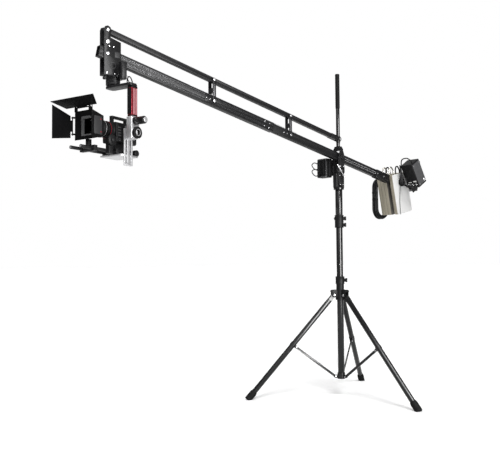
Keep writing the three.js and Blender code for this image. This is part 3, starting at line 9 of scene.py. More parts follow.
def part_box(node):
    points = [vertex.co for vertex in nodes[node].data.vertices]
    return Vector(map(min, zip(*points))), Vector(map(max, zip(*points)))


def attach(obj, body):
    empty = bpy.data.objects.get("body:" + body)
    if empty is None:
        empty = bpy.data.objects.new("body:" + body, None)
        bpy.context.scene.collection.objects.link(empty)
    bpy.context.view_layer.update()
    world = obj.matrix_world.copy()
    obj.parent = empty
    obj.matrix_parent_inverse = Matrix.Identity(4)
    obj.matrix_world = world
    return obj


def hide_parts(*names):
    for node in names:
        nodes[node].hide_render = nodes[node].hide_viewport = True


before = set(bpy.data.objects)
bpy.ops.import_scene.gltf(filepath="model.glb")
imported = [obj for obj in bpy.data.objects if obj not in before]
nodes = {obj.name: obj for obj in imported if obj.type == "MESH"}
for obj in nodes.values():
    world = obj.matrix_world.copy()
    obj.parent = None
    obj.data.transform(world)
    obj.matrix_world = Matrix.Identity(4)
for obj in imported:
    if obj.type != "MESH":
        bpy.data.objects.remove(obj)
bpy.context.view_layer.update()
print("frame loaded")

# Places are written in millimetres from the foot of the column, with the arm along X
mm = 0.001
columnLow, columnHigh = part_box("centre_column")
ground = Matrix.Translation(((columnLow[0] + columnHigh[0]) / 2, (columnLow[1] + columnHigh[1]) / 2, 0))
ground = ground @ Matrix.Scale(mm, 4)


def turn(degrees, axis):
    return Matrix.Rotation(math.radians(degrees), 4, axis)


def shift(x, y, z):
    return Matrix.Translation((x, y, z))


up, toFront, toRear, toNear, toFar = (0, 0, 1), (-1, 0, 0), (1, 0, 0), (0, -1, 0), (0, 1, 0)
stand = {"legs": 3, "azimuth": 27.4, "pivotRadius": 40, "pivotHeight": 590, "footRadius": 550,
         "footHeight": 8}
arm = {"tilt": 11.7, "pivot": 1407, "spacing": 108, "front": -1600, "bar": 571,
       "links": (-423, -977), "halfWidths": (13, 15)}
hung = {"weightLean": 12.5, "boxBehind": 28, "boxAbove": 60, "boxLean": 43}
rig = {"turn": 16, "back": 38, "lift": -2.84, "tiltX": 14, "tiltY": -122, "tiltZ": 1372, "lensZ": 1390}

legRun = stand["footRadius"] - stand["pivotRadius"]
legDrop = stand["pivotHeight"] - stand["footHeight"]
legLength = math.hypot(legRun, legDrop)
legLean = math.degrees(math.atan2(legRun, legDrop))

armFrame = ground @ shift(0, 0, arm["pivot"]) @ turn(arm["tilt"], "Y")


def onArm(x):
    lean = math.radians(arm["tilt"])
    return x * math.cos(lean), 0, arm["pivot"] - x * math.sin(lean)


def radialFrame(index):
    return ground @ turn(stand["azimuth"] + 360 / stand["legs"] * index, "Z")


def legFrame(index):
    return radialFrame(index) @ shift(stand["pivotRadius"], 0, stand["pivotHeight"]) @ turn(-legLean, "Y")


frontPivot = onArm(arm["front"])
panFrame = ground @ shift(frontPivot[0] + rig["back"], 0, rig["lift"])
rigFrame = panFrame @ turn(rig["turn"], "Z")
barFrame = ground @ shift(*onArm(arm["bar"]))
weightFrame = barFrame @ turn(-hung["weightLean"], "Y")
boxFrame = armFrame @ shift(arm["bar"] + hung["boxBehind"], 0, hung["boxAbove"]) @ turn(-hung["boxLean"], "Y")


def addObject(name, data):
    holder = bpy.data.objects.new(name, data)
    bpy.context.scene.collection.objects.link(holder)
    return holder


def meshData(name, mesh):
    data = bpy.data.meshes.new(name)
    mesh.to_mesh(data)
    mesh.free()
    return data


def newMaterial(name):
    material = bpy.data.materials.new(name)
    material.use_nodes = True
    return material, material.node_tree, material.node_tree.nodes["Principled BSDF"]


# Shader node groups

def makeGroup(name, inputs, outputs):
    group = bpy.data.node_groups.new(name, "ShaderNodeTree")
    for title, kind, value in inputs:
        socket = group.interface.new_socket(name=title, in_out="INPUT", socket_type=kind)
        socket.default_value = value
    for title, kind in outputs:
        group.interface.new_socket(name=title, in_out="OUTPUT", socket_type=kind)
    return group, group.nodes.new("NodeGroupInput"), group.nodes.new("NodeGroupOutput")


def setInputs(node, values):
    for key, value in values.items():
        node.inputs[key].default_value = value


def addNode(tree, kind, values=None, links=None, **settings):
    node = tree.nodes.new(kind)
    for key, value in settings.items():
        setattr(node, key, value)
    setInputs(node, values or {})
    for key, source in (links or {}).items():
        tree.links.new(source, node.inputs[key])
    return node


# Fine surface grain, drawn out along an axis by Stretch
def makeGrainGroup():
    group, given, result = makeGroup("fineGrain", [
        ("Size", "NodeSocketFloat", 900.0), ("Stretch", "NodeSocketVector", (1, 1, 1)),
    ], [("Height", "NodeSocketFloat")])
    coords = addNode(group, "ShaderNodeTexCoord")
    mapping = addNode(group, "ShaderNodeMapping", links={
        "Vector": coords.outputs["Object"], "Scale": given.outputs["Stretch"]})
    fine = addNode(group, "ShaderNodeTexNoise", {"Detail": 3.0}, {
        "Vector": mapping.outputs["Vector"], "Scale": given.outputs["Size"]})
    group.links.new(fine.outputs["Fac"], result.inputs["Height"])
    return group


# Patches where the finish is rubbed, and a roughness that varies by Spread
def makeWearGroup():
    group, given, result = makeGroup("rubbedPatches", [
        ("Base", "NodeSocketColor", (0.02, 0.02, 0.02, 1)), ("Worn", "NodeSocketColor", (0.1, 0.1, 0.1, 1)),
        ("Amount", "NodeSocketFloat", 0.3), ("Scale", "NodeSocketFloat", 60.0),
        ("Rough", "NodeSocketFloat", 0.4), ("Spread", "NodeSocketFloat", 0.12),
    ], [("Color", "NodeSocketColor"), ("Roughness", "NodeSocketFloat")])
    coords = addNode(group, "ShaderNodeTexCoord")
    noise = addNode(group, "ShaderNodeTexNoise", {"Detail": 8.0, "Roughness": 0.7}, {
        "Vector": coords.outputs["Object"], "Scale": given.outputs["Scale"]})
    mask = addNode(group, "ShaderNodeMapRange", {"From Min": 0.52, "From Max": 0.78}, {
        "Value": noise.outputs["Fac"]})
    amount = addNode(group, "ShaderNodeMath", links={
        0: mask.outputs["Result"], 1: given.outputs["Amount"]}, operation="MULTIPLY")
    mix = addNode(group, "ShaderNodeMix", data_type="RGBA")
    group.links.new(amount.outputs[0], mix.inputs["Factor"])
    group.links.new(given.outputs["Base"], mix.inputs["A"])
    group.links.new(given.outputs["Worn"], mix.inputs["B"])
    rough = addNode(group, "ShaderNodeMath", links={
        0: noise.outputs["Fac"], 1: given.outputs["Spread"], 2: given.outputs["Rough"],
    }, operation="MULTIPLY_ADD")
    group.links.new(mix.outputs["Result"], result.inputs["Color"])
    group.links.new(rough.outputs[0], result.inputs["Roughness"])
    return group


# A mask that is 0 on faces square to Y and 1 on the edges round them
def makeEdgeGroup():
    group, _, result = makeGroup("plateEdges", [], [("Mask", "NodeSocketFloat")])
    coords = addNode(group, "ShaderNodeTexCoord")
    parts = addNode(group, "ShaderNodeSeparateXYZ", links={0: coords.outputs["Normal"]})
    level = addNode(group, "ShaderNodeMath", links={0: parts.outputs["Y"]}, operation="ABSOLUTE")
    mask = addNode(group, "ShaderNodeMapRange", {"From Min": 0.9, "From Max": 0.5}, {"Value": level.outputs[0]})
    group.links.new(mask.outputs["Result"], result.inputs["Mask"])
    return group


grainGroup = makeGrainGroup()
wearGroup = makeWearGroup()
edgeGroup = makeEdgeGroup()

# Each finish: its colour, the colour where it is rubbed, and the slot of the model that it stands for
finishes = {
    "standBlack": dict(
        slot="stand_black", color=(0.004, 0.004, 0.0045), worn=(0.014, 0.014, 0.015),
        rough=0.22, spec=0.42, grain=1400, bump=0.03),
    "anodisedBlack": dict(
        slot="black_anodised", color=(0.009, 0.009, 0.01), worn=(0.024, 0.024, 0.027),
        rough=0.42, spec=0.2, grain=700, bump=0.03, stretch=(0.05, 1, 1)),
    "anodisedGrey": dict(
        slot="grey_anodised", color=(0.12, 0.12, 0.125), worn=(0.22, 0.22, 0.23),
        rough=0.36, metal=0.5, grain=900, bump=0.03),
    "nylonBlack": dict(
        slot="clamp_plastic", color=(0.005, 0.005, 0.0055), worn=(0.014, 0.014, 0.015),
        rough=0.5, spec=0.16, grain=1100, bump=0.1),
    "rubberBlack": dict(
        slot="foot_rubber", color=(0.006, 0.006, 0.006), worn=(0.018, 0.018, 0.018),
        rough=0.7, spec=0.12, grain=800, bump=0.16),
    "cableBlack": dict(
        slot="cable_black", color=(0.003, 0.003, 0.0035), worn=(0.01, 0.01, 0.011),
        rough=0.42, spec=0.16, grain=600, bump=0.04),
    "clearAnodised": dict(
        slot="silver", color=(0.66, 0.66, 0.67), worn=(0.8, 0.8, 0.81),
        rough=0.34, metal=0.75, grain=900, bump=0.02, wear=0.2),
    "brightSteel": dict(
        slot="bright_steel", color=(0.7, 0.7, 0.71), worn=(0.48, 0.47, 0.45),
        rough=0.24, metal=1.0, grain=700, bump=0.02, wear=0.3),
    "zincPlate": dict(
        slot="weight_steel", color=(0.86, 0.86, 0.85), worn=(0.78, 0.77, 0.74),
        rough=0.5, spec=0.3, grain=260, bump=0.05, wearScale=22, wear=0.6, edge=(0.3, 0.27, 0.21)),
    # A darker copy of the zinc plate finish for the plates behind the first: painted shade in the gaps between
    # the plates
    "zincPaintedShade": dict(
        slot="weight_steel", color=(0.09, 0.085, 0.075), worn=(0.2, 0.19, 0.16),
        rough=0.5, spec=0.3, grain=260, bump=0.06, wearScale=22, wear=0.6, edge=(0.34, 0.31, 0.24)),
    "handleSteel": dict(
        slot="weight_steel", color=(0.5, 0.48, 0.43), worn=(0.16, 0.15, 0.13),
        rough=0.24, metal=1.0, grain=500, bump=0.03, wear=0.8),
    "redAnodised": dict(
        slot="red_anodised", color=(0.34, 0.006, 0.02), worn=(0.5, 0.05, 0.08),
        rough=0.28, metal=0.5, grain=800, bump=0.02),
    # A lighter pink copy of the red anodising for the side column's near face: a painted highlight
    "redPaintedHighlight": dict(
        slot="red_anodised", color=(0.8, 0.3, 0.33), worn=(0.9, 0.6, 0.62),
        rough=0.3, metal=0.3, grain=800, bump=0.02, wearScale=30),
    "plasticBlack": dict(
        slot="black_plastic", color=(0.005, 0.005, 0.0055), worn=(0.014, 0.014, 0.015),
        rough=0.5, spec=0.16, grain=1500, bump=0.1),
    "hoodGrey": dict(
        slot="black_plastic", color=(0.034, 0.034, 0.036), worn=(0.06, 0.06, 0.063),
        rough=0.55, spec=0.25, grain=1300, bump=0.1),
    # A light grey for the lining inside the black matte box: painted light on walls that sit in shade
    "liningPaintedLight": dict(
        slot="black_plastic", color=(0.13, 0.13, 0.133), worn=(0.18, 0.18, 0.185),
        rough=0.55, spec=0.3, grain=1300, bump=0.08),
    "plasticGrey": dict(
        slot="black_plastic", color=(0.075, 0.075, 0.078), worn=(0.12, 0.12, 0.125),
        rough=0.55, spec=0.3, grain=1300, bump=0.1),
    "flagBlack": dict(
        slot="black_plastic", color=(0.003, 0.003, 0.0033), worn=(0.008, 0.008, 0.009),
        rough=0.6, spec=0.06, grain=1300, bump=0.06),
    "glassDark": dict(
        slot="black_plastic", color=(0.02, 0.003, 0.006), worn=(0.04, 0.006, 0.012),
        rough=0.05, spec=0.6, grain=50, bump=0.0, coat=0.6),
    "contactWhite": dict(
        slot="black_plastic", color=(0.8, 0.8, 0.78), worn=(0.6, 0.6, 0.58),
        rough=0.4, spec=0.4, grain=900, bump=0.02),
}
roughSpread = 0.12
grainDepth = 0.4 * mm


def makeMaterial(name, color, worn, rough, grain, bump, metal=0.0, spec=0.5, coat=0.0,
                 stretch=(1, 1, 1), wearScale=60, wear=0.4, edge=None):
    material, tree, shader = newMaterial(name)
    setInputs(shader, {"Metallic": metal, "Specular IOR Level": spec, "Coat Weight": coat,
                       "Coat Roughness": 0.15})
    rubbed = addNode(tree, "ShaderNodeGroup", {
        "Base": (*color, 1), "Worn": (*worn, 1), "Amount": wear, "Scale": wearScale,
        "Rough": rough - roughSpread / 2, "Spread": roughSpread}, node_tree=wearGroup)
    surface = rubbed.outputs["Color"]
    if edge:
        rim = addNode(tree, "ShaderNodeGroup", node_tree=edgeGroup)
        tint = addNode(tree, "ShaderNodeMix", data_type="RGBA", links={
            "Factor": rim.outputs["Mask"], "A": surface})
        tint.inputs["B"].default_value = (*edge, 1)
        surface = tint.outputs["Result"]
    tree.links.new(surface, shader.inputs["Base Color"])
    tree.links.new(rubbed.outputs["Roughness"], shader.inputs["Roughness"])
    if bump:
        fine = addNode(tree, "ShaderNodeGroup", {"Size": grain, "Stretch": stretch}, node_tree=grainGroup)
        relief = addNode(tree, "ShaderNodeBump", {"Strength": bump, "Distance": grainDepth}, {
            "Height": fine.outputs["Height"]})
        tree.links.new(relief.outputs["Normal"], shader.inputs["Normal"])
    return material


slotNames = {name: values.pop("slot") for name, values in finishes.items()}
materials = {name: makeMaterial(name, **values) for name, values in finishes.items()}
print("materials made")


# Shapes: each call adds to a mesh in metres, from sizes in millimetres in the frame it is given

def absorb(target, part, matrix=None):
    if matrix is not None:
        bmesh.ops.transform(part, matrix=matrix, verts=part.verts)
    scratch = meshData("scratch", part)
    target.from_mesh(scratch)
    bpy.data.meshes.remove(scratch)


def roundEdges(part, width, sharper=32, segments=2):
    edges = [e for e in part.edges if len(e.link_faces) == 2 and e.calc_face_angle() > math.radians(sharper)]
    if width and edges:
        bmesh.ops.bevel(part, geom=edges, offset=width, offset_type="OFFSET", segments=segments, profile=0.5,
                        affect="EDGES", material=-1, clamp_overlap=True)


# A node's own solid with its triangles merged and its edges rounded
def addCopy(mesh, node, width):
    part = bmesh.new()
    part.from_mesh(nodes[node].data)
    bmesh.ops.remove_doubles(part, verts=part.verts, dist=0.005 * mm)
    bmesh.ops.dissolve_limit(part, angle_limit=math.radians(0.6), verts=part.verts, edges=part.edges)
    roundEdges(part, width * mm)
    absorb(mesh, part)


def facing(direction):
    return Vector(direction).to_track_quat("Z", "Y").to_matrix().to_4x4()


# A flat disc or plate drawn up to a height
def raiseDisc(part, height):
    grown = bmesh.ops.extrude_face_region(part, geom=list(part.faces))
    top = [v for v in grown["geom"] if isinstance(v, bmesh.types.BMVert)]
    bmesh.ops.translate(part, vec=(0, 0, height), verts=top)
    bmesh.ops.recalc_face_normals(part, faces=part.faces)


# A profile of radius and height, spun round the direction
def addTurned(mesh, matrix, profile, steps=48, start=(0, 0, 0), direction=up):
    part = bmesh.new()
    verts = [part.verts.new((radius, 0, height)) for radius, height in profile]
    edges = [part.edges.new(pair) for pair in zip(verts, verts[1:])]
    bmesh.ops.spin(part, geom=verts + edges, cent=(0, 0, 0), axis=(0, 0, 1), angle=math.tau, steps=steps,
                   use_merge=True)
    bmesh.ops.remove_doubles(part, verts=part.verts, dist=0.0005)
    bmesh.ops.recalc_face_normals(part, faces=part.faces)
    absorb(mesh, part, matrix @ shift(*start) @ facing(direction))


def addRod(mesh, matrix, radius, start, end, chamfer=0.8, steps=48):
    along = Vector(end) - Vector(start)
    length = along.length
    corner = chamfer * 0.3
    addTurned(mesh, matrix, [
        (0, 0), (radius - chamfer, 0), (radius - corner, corner), (radius, chamfer),
        (radius, length - chamfer), (radius - corner, length - corner), (radius - chamfer, length),
        (0, length),
    ], steps, start, along)


def addBlock(mesh, matrix, centre, size, width=0.8):
    part = bmesh.new()
    bmesh.ops.create_cube(part, size=1, matrix=shift(*centre) @ Matrix.Diagonal((*size, 1)))
    roundEdges(part, min(width, min(size) * 0.45))
    absorb(mesh, part, matrix)


def addRing(mesh, matrix, outer, inner, start, direction, height, chamfer=0.6, steps=48):
    addTurned(mesh, matrix, [
        (inner, chamfer), (inner + chamfer, 0), (outer - chamfer, 0), (outer, chamfer),
        (outer, height - chamfer), (outer - chamfer, height), (inner + chamfer, height),
        (inner, height - chamfer),
        (inner, chamfer),
    ], steps, start, direction)


# A cap screw: round head with a hexagon socket sunk in its top
def addScrew(mesh, matrix, place, direction, radius=4.0, height=3.0):
    floorHeight = height * 0.45
    addTurned(mesh, matrix, [
        (radius * 0.5, floorHeight), (radius * 0.5, height), (radius * 0.86, height), (radius, height * 0.86),
        (radius, 0), (0, 0),
    ], 24, place, direction)
    part = bmesh.new()
    bmesh.ops.create_circle(part, cap_ends=True, segments=6, radius=radius * 0.52)
    absorb(mesh, part, matrix @ shift(*place) @ facing(direction) @ shift(0, 0, floorHeight))


# A hexagon nut or bolt head with its domed top
def addHexHead(mesh, matrix, place, direction, radius=6.0, height=4.0):
    here = matrix @ shift(*place) @ facing(direction)
    part = bmesh.new()
    bmesh.ops.create_cone(part, cap_ends=True, segments=6, radius1=radius, radius2=radius, depth=height,
                          matrix=shift(0, 0, height / 2))
    roundEdges(part, height * 0.14)
    absorb(mesh, part, here)
    addTurned(mesh, here, [(0, height * 1.18), (radius * 0.35, height * 1.14), (radius * 0.6, height * 1.02),
                           (radius * 0.6, height * 0.5)])


# The same screw or bolt on both sides of a piece, each facing out
def addPair(mesh, matrix, add, place, radius, height):
    x, out, z = place
    for side in (-1, 1):
        add(mesh, matrix, (x, side * out, z), (0, side, 0), radius, height)


# Low domed rivets on both sides
def addRivets(mesh, matrix, out, profile):
    for side in (-1, 1):
        addTurned(mesh, matrix @ shift(0, side * out, 0) @ facing((0, side, 0)), profile, 24)


def finishPiece(name, mesh, finish, body, replaced=(), smoothAngle=38):
    data = meshData(name, mesh)
    piece = addObject(name, data)
    data.polygons.foreach_set("use_smooth", [True] * len(data.polygons))
    data.set_sharp_from_angle(angle=math.radians(smoothAngle))
    data.materials.append(materials[finish])
    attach(piece, body)
    if replaced:
        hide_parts(*replaced)
    return piece


def addShapes(mesh, shapes):
    for add, matrix, *sizes in shapes:
        add(mesh, matrix, *sizes)


# A piece made of shapes, each given as its function, its frame and its sizes
def makePiece(name, finish, body, shapes, replaced=()):
    mesh = bmesh.new()
    addShapes(mesh, shapes)
    return finishPiece(name, mesh, finish, body, replaced)


def pieceName(node):
    first, *rest = node.split("_")
    return first + "".join(word.capitalize() for word in rest)


# The node's own solid with rounded edges and more shapes on it, in place of the node
def dressNode(node, finish, body, width=0.6, shapes=()):
    mesh = bmesh.new()
    addCopy(mesh, node, width)
    addShapes(mesh, shapes)
    finishPiece(pieceName(node), mesh, finish, body, [node])


# A route through chosen points, bent as one smooth line
def smoothRoute(points, steps=6):
    places = [Vector(p) for p in points]
    ends = [places[0] * 2 - places[1]] + places + [places[-1] * 2 - places[-2]]
    route = []
    for a, b, c, d in zip(ends, ends[1:], ends[2:], ends[3:]):
        for step in range(steps):
            t = step / steps
            bent = (2 * a - 5 * b + 4 * c - d) * t * t + (3 * b - a - 3 * c + d) * t ** 3
            route.append((2 * b + (c - a) * t + bent) / 2)
    return route + [places[-1]]


def addTube(name, matrix, points, diameter, finish, body, replaced=()):
    curve = bpy.data.curves.new(name, "CURVE")
    curve.dimensions = "3D"
    curve.bevel_depth = diameter / 2 * mm
    curve.bevel_resolution = 4
    curve.use_fill_caps = True
    spline = curve.splines.new("POLY")
    spline.points.add(len(points) - 1)
    for point, place in zip(spline.points, points):
        point.co = (*(matrix @ Vector(place)), 1)
    holder = addObject(name + "Curve", curve)
    data = bpy.data.meshes.new_from_object(holder)
    bpy.data.objects.remove(holder)
    mesh = bmesh.new()
    mesh.from_mesh(data)
    bpy.data.meshes.remove(data)
    finishPiece(name, mesh, finish, body, replaced, 60)


# Stand

column = {"radius": 19, "low": 107.3, "high": 1065, "holeHeight": 770, "holeAzimuth": -131, "holeRadius": 4.2}


def makeColumn():
    piece = makePiece("centreColumn", "standBlack", "stand", [
        (addRod, ground, column["radius"], (0, 0, column["low"]), (0, 0, column["high"]), 1, 64),
    ], ["centre_column"])
    reach = column["radius"] * 1.3
    drill = ground @ turn(column["holeAzimuth"], "Z") @ shift(0, 0, column["holeHeight"])
    cutter = bmesh.new()
    addRod(cutter, drill, column["holeRadius"], (-reach, 0, 0), (reach, 0, 0), 0.2, 32)
    tool = addObject("drill", meshData("drill", cutter))
    hole = piece.modifiers.new("hole", "BOOLEAN")
    hole.object = tool
    hole.solver = "EXACT"
    drilled = bpy.data.meshes.new_from_object(piece.evaluated_get(bpy.context.evaluated_depsgraph_get()))
    piece.modifiers.remove(hole)
    piece.data = drilled
    bpy.data.objects.remove(tool)


hub = {"radius": 22.7, "bore": 19.3, "low": 102, "height": 34.1,
       "rivetX": 35.5, "rivetSide": 6.9, "rivetZ": 116,
       "rivet": [(5.2, 0), (5.2, 1.4), (4.4, 2.3), (2.6, 2.9), (0, 3.1)],
       "floor": [(0, 101.7), (21, 101.7), (22.65, 103.2), (22.65, 108), (0, 108)]}


def makeHub():
    dressNode("bottom_hub", "standBlack", "stand", 0.5, [
        (addRing, ground, hub["radius"], hub["bore"], (0, 0, hub["low"]), up, hub["height"], 1, 64),
        (addTurned, ground, hub["floor"], 64)])
    makePiece("hubRivets", "brightSteel", "stand", [
        (addRivets, radialFrame(i) @ shift(hub["rivetX"], 0, hub["rivetZ"]), hub["rivetSide"], hub["rivet"])
        for i in range(stand["legs"])])


# The rings of the bracket: radius, foot, height and chamfer
bracketRings = ((26.7, 561.9, 60.2, 1.2), (22.7, 621, 33.6, 1))
bracketBore, bracketSide = 20, 15.9


def makeLegBracket():
    dressNode("leg_bracket", "nylonBlack", "carriage", 0.8, [
        (addRing, ground, radius, bracketBore, (0, 0, low), up, height, chamfer, 64)
        for radius, low, height, chamfer in bracketRings])
    bolt = (stand["pivotRadius"], bracketSide, stand["pivotHeight"])
    makePiece("legBolts", "brightSteel", "carriage", [
        (addPair, radialFrame(i), addHexHead, bolt, 6.6, 4.1) for i in range(stand["legs"])])


collars = {
    "lower_collar": {"low": 655, "high": 700, "radius": 26, "bore": 19.5, "reach": 31, "body": "carriage",
                     "knobs": {"lower_knob": 677.5}},
    "upper_collar": {"low": 988, "high": 1062, "radius": 25.7, "bore": 21.4, "reach": 29, "body": "mast",
                     "knobs": {"upper_knob_1": 1042, "upper_knob_2": 1004}},
}
rimHeight = 6
knob = {"azimuth": -49, "radius": 12, "dip": 1.8, "lobes": 6, "height": 12, "stem": 4, "stemLength": 24,
        "rim": 1.9, "crown": 3.4, "bossRadius": 9.3, "bossBore": 4.6}


# A clamp collar: a rolled rim at each end, a shallow waist and a round boss for each knob
def makeCollar(node):
    spot = collars[node]
    low, high, radius, bore = spot["low"], spot["high"], spot["radius"], spot["bore"]
    profile = [
        (bore, low + 0.8), (radius - 1.5, low), (radius + 0.7, low + 1.6),
        (radius + 0.9, low + rimHeight - 1.4), (radius + 0.1, low + rimHeight),
        (radius + 0.1, high - rimHeight), (radius + 0.9, high - rimHeight + 1.4),
        (radius + 0.7, high - 1.6), (radius - 1.5, high), (bore, high - 0.8)]
    dressNode(node, "nylonBlack", spot["body"], 0.6, [(addTurned, ground, profile, 72)] + [
        (addRing, ground @ turn(knob["azimuth"], "Z") @ shift(0, 0, height), knob["bossRadius"],
         knob["bossBore"], (radius - 4, 0, 0), toRear, spot["reach"] + 4.2 - radius, 0.8, 40)
        for height in spot["knobs"].values()])


# A six-lobed hand knob: a waved disc with a rounded rim and a sunk crown, a stem and a steel insert
def makeKnob(node, height, reach):
    here = ground @ turn(knob["azimuth"], "Z") @ shift(reach + 0.3, 0, height) @ turn(90, "Y")
    mesh = bmesh.new()
    part = bmesh.new()
    bmesh.ops.create_circle(part, cap_ends=True, segments=72, radius=knob["radius"] - knob["dip"] / 2)
    for vert in part.verts:
        wave = math.cos(math.atan2(vert.co.y, vert.co.x) * knob["lobes"])
        vert.co *= 1 + wave * knob["dip"] / 2 / knob["radius"]
    raiseDisc(part, knob["height"])
    roundEdges(part, knob["rim"], 50, 4)
    crown = max(part.faces, key=lambda f: f.calc_center_median().z)
    bmesh.ops.inset_individual(part, faces=[crown], thickness=knob["crown"], depth=-1)
    absorb(mesh, part, here)
    addRod(mesh, here, knob["stem"], (0, 0, -reach + knob["stemLength"]), (0, 0, 1), 0.4, 24)
    finishPiece(pieceName(node), mesh, "nylonBlack", node, [node])
    level = knob["height"] - 0.7
    makePiece(pieceName(node) + "Insert", "brightSteel", node, [
        (addTurned, here, [(0, level), (3.2, level), (3.5, level - 0.6)], 32)])


leg = {"radius": 15.1, "low": 24, "high": 38, "bandShare": 0.485, "bandRadius": 17.2, "bandBore": 14.8,
       "bandHeight": 22, "hingeRadius": 12.1, "hingeHalf": 10.9, "clipX": -25, "clipSide": 6.9,
       "rivet": [(5.2, 0), (5.2, 1.2), (4.2, 1.9), (2.4, 2.3), (0, 2.5)]}


def makeLegs():
    band = -legLength * leg["bandShare"]
    bandHeight, hinge = leg["bandHeight"], leg["hingeHalf"]
    for i in range(stand["legs"]):
        here = legFrame(i)
        dressNode(f"leg_{i + 1}", "standBlack", f"leg_{i + 1}", 0.6, [
            (addRod, here, leg["radius"], (0, 0, -legLength + leg["low"]), (0, 0, -leg["high"]), 1.4, 56),
            (addRing, here, leg["bandRadius"], leg["bandBore"], (0, 0, band - bandHeight / 2), up,
             bandHeight, 0.8, 56),
            (addRod, here, leg["hingeRadius"], (0, -hinge, 0), (0, hinge, 0))])
        makePiece(f"legClipRivets{i + 1}", "brightSteel", f"leg_{i + 1}", [
            (addRivets, here @ shift(leg["clipX"], 0, band), leg["clipSide"], leg["rivet"])])


foot = {"end": -12, "rim": 40, "cone": 50, "radius": 20.5, "topRadius": 17.5, "bore": 15.4, "ribs": 5,
        "ribHeight": 0.9, "ribPitch": 6.5}


# A rubber foot: ribbed sides and a rolled top edge, cut flat where it stands
def makeFeet():
    radius, dent = foot["radius"], foot["radius"] - foot["ribHeight"]
    pitch, end = foot["ribPitch"], foot["end"]
    profile = [(foot["bore"], foot["cone"]), (foot["topRadius"] - 0.6, foot["cone"]),
               (foot["topRadius"], foot["cone"] - 0.8), (radius - 0.6, foot["rim"])]
    height = foot["rim"] - 2
    for _ in range(foot["ribs"]):
        profile += [(dent, height), (radius, height - 1.2), (radius, height - pitch + 2.4),
                    (dent, height - pitch + 1.2)]
        height -= pitch
    profile += [(radius, height), (radius, end + 2.5), (radius - 2.5, end), (0, end)]
    for i in range(stand["legs"]):
        mesh = bmesh.new()
        addTurned(mesh, legFrame(i) @ shift(0, 0, -legLength), profile, 64)
        cut = bmesh.ops.bisect_plane(mesh, geom=list(mesh.verts) + list(mesh.edges) + list(mesh.faces),
                                     plane_co=(0, 0, 0), plane_no=(0, 0, -1), clear_outer=True)
        rim = [e for e in cut["geom_cut"] if isinstance(e, bmesh.types.BMEdge)]
        bmesh.ops.holes_fill(mesh, edges=rim)
        finishPiece(f"foot{i + 1}", mesh, "rubberBlack", f"leg_{i + 1}", [f"foot_{i + 1}"])


def makeBraces():
    for i in range(stand["legs"]):
        dressNode(f"brace_{i + 1}", "standBlack", f"brace_{i + 1}", 0.9)


mast = {"radius": 21.15, "bore": 19.6, "low": 1018, "height": 196, "screwAzimuth": 131,
        "cap": [(21.2, 1213.4), (29, 1213.5), (30.2, 1214.7), (30.2, 1223), (28.6, 1224.5), (0, 1224.5)]}


def makeMast():
    dressNode("mast_sleeve", "standBlack", "mast", 0.6, [
        (addRing, ground, mast["radius"], mast["bore"], (0, 0, mast["low"]), up, mast["height"], 0.8, 72),
        (addTurned, ground, mast["cap"], 72)])
    collar = collars["upper_collar"]
    boss = (collar["reach"] + 0.1, 0, collar["knobs"]["upper_knob_1"])
    makePiece("mastScrews", "brightSteel", "mast", [
        (addScrew, ground @ turn(mast["screwAzimuth"], "Z"), boss, toRear, 4.2, 2.6)])


for build in (makeColumn, makeHub, makeLegBracket, makeLegs, makeFeet, makeBraces, makeMast):
    build()
for collarNode in collars:
    makeCollar(collarNode)
for collar in collars.values():
    for knobNode, knobHeight in collar["knobs"].items():
        makeKnob(knobNode, knobHeight, collar["reach"])
print("stand made")


# Yoke

yoke = {"blockSide": 21.9, "blockX": (-12, 12), "blockZ": (1244, 1298),
        "cheekSide": 28.2, "cheekX": (-16, 16),
        "cheekZ": 1351, "bracketX": 12.1, "bracketZ": (1452, 1464),
        "cap": [(13.1, 0), (13.1, 5), (12, 6.1), (7, 6.3), (6.4, 5.2), (0, 5.2)]}
lever = {"x": -17, "y": -22.1, "z": 1323, "stem": 18, "radius": 6, "rod": 2.7, "reach": 46, "lean": 41,
         "ball": 5.6}


def makeYoke():
    dressNode("yoke_block", "anodisedBlack", "yoke", 1.2)
    for node in ("yoke_cheek_near", "yoke_cheek_far", "pole_bracket"):
        dressNode(node, "anodisedBlack", "yoke", 0.9)
    dressNode("pivot_shaft", "anodisedBlack", "yoke", 0.6, [
        (addTurned, ground, yoke["cap"], 48, (0, side * yoke["cheekSide"], arm["pivot"]), (0, side, 0))
        for side in (-1, 1)])
    makePiece("yokeScrews", "brightSteel", "yoke", [
        *((addPair, ground, addScrew, (x, yoke["cheekSide"], yoke["cheekZ"]), 4.4, 3)
          for x in yoke["cheekX"]),
        *((addPair, ground, addScrew, (x, yoke["blockSide"], z), 3, 2)
          for z in yoke["blockZ"] for x in yoke["blockX"]),
        *((addScrew, ground, (yoke["bracketX"], 0, z), toRear, 2.4, 1.6) for z in yoke["bracketZ"])])
    stem, reach, ball = lever["stem"], lever["reach"], lever["ball"]
    here = ground @ shift(lever["x"], lever["y"], lever["z"])
    cross = here @ shift(0, -stem + lever["radius"], 0) @ turn(-lever["lean"], "Y")
    bends = [math.pi * step / 12 for step in range(13)]
    dressNode("tilt_lock_lever", "brightSteel", "tilt_lever", 0.5, [
        (addRod, here, lever["radius"] + 0.1, (0, -stem - 0.1, 0), (0, -0.1, 0), 1.2, 40),
        (addRod, cross, lever["rod"], (0, 0, -reach), (0, 0, reach), 0.8, 32),
        (addTurned, cross, [(ball * math.sin(bend), -reach - ball * math.cos(bend)) for bend in bends], 32)])


pole = {"radius": 11.12, "spans": ((1471.4, 1497.9), (1532.1, 1700.8)), "boltSide": 17.2}
grip = {"radius": 13.1, "groove": 12.7, "rings": 16, "firstRing": 1712, "pitch": 11, "ringHeight": 7,
        "foot": [(11.3, 1700.6), (12.4, 1700.8), (13.1, 1702), (13.1, 1706), (12.7, 1707)],
        "top": [(12.7, 1892), (13.1, 1893), (13.1, 1903.5), (11.8, 1906.6), (0, 1907)]}


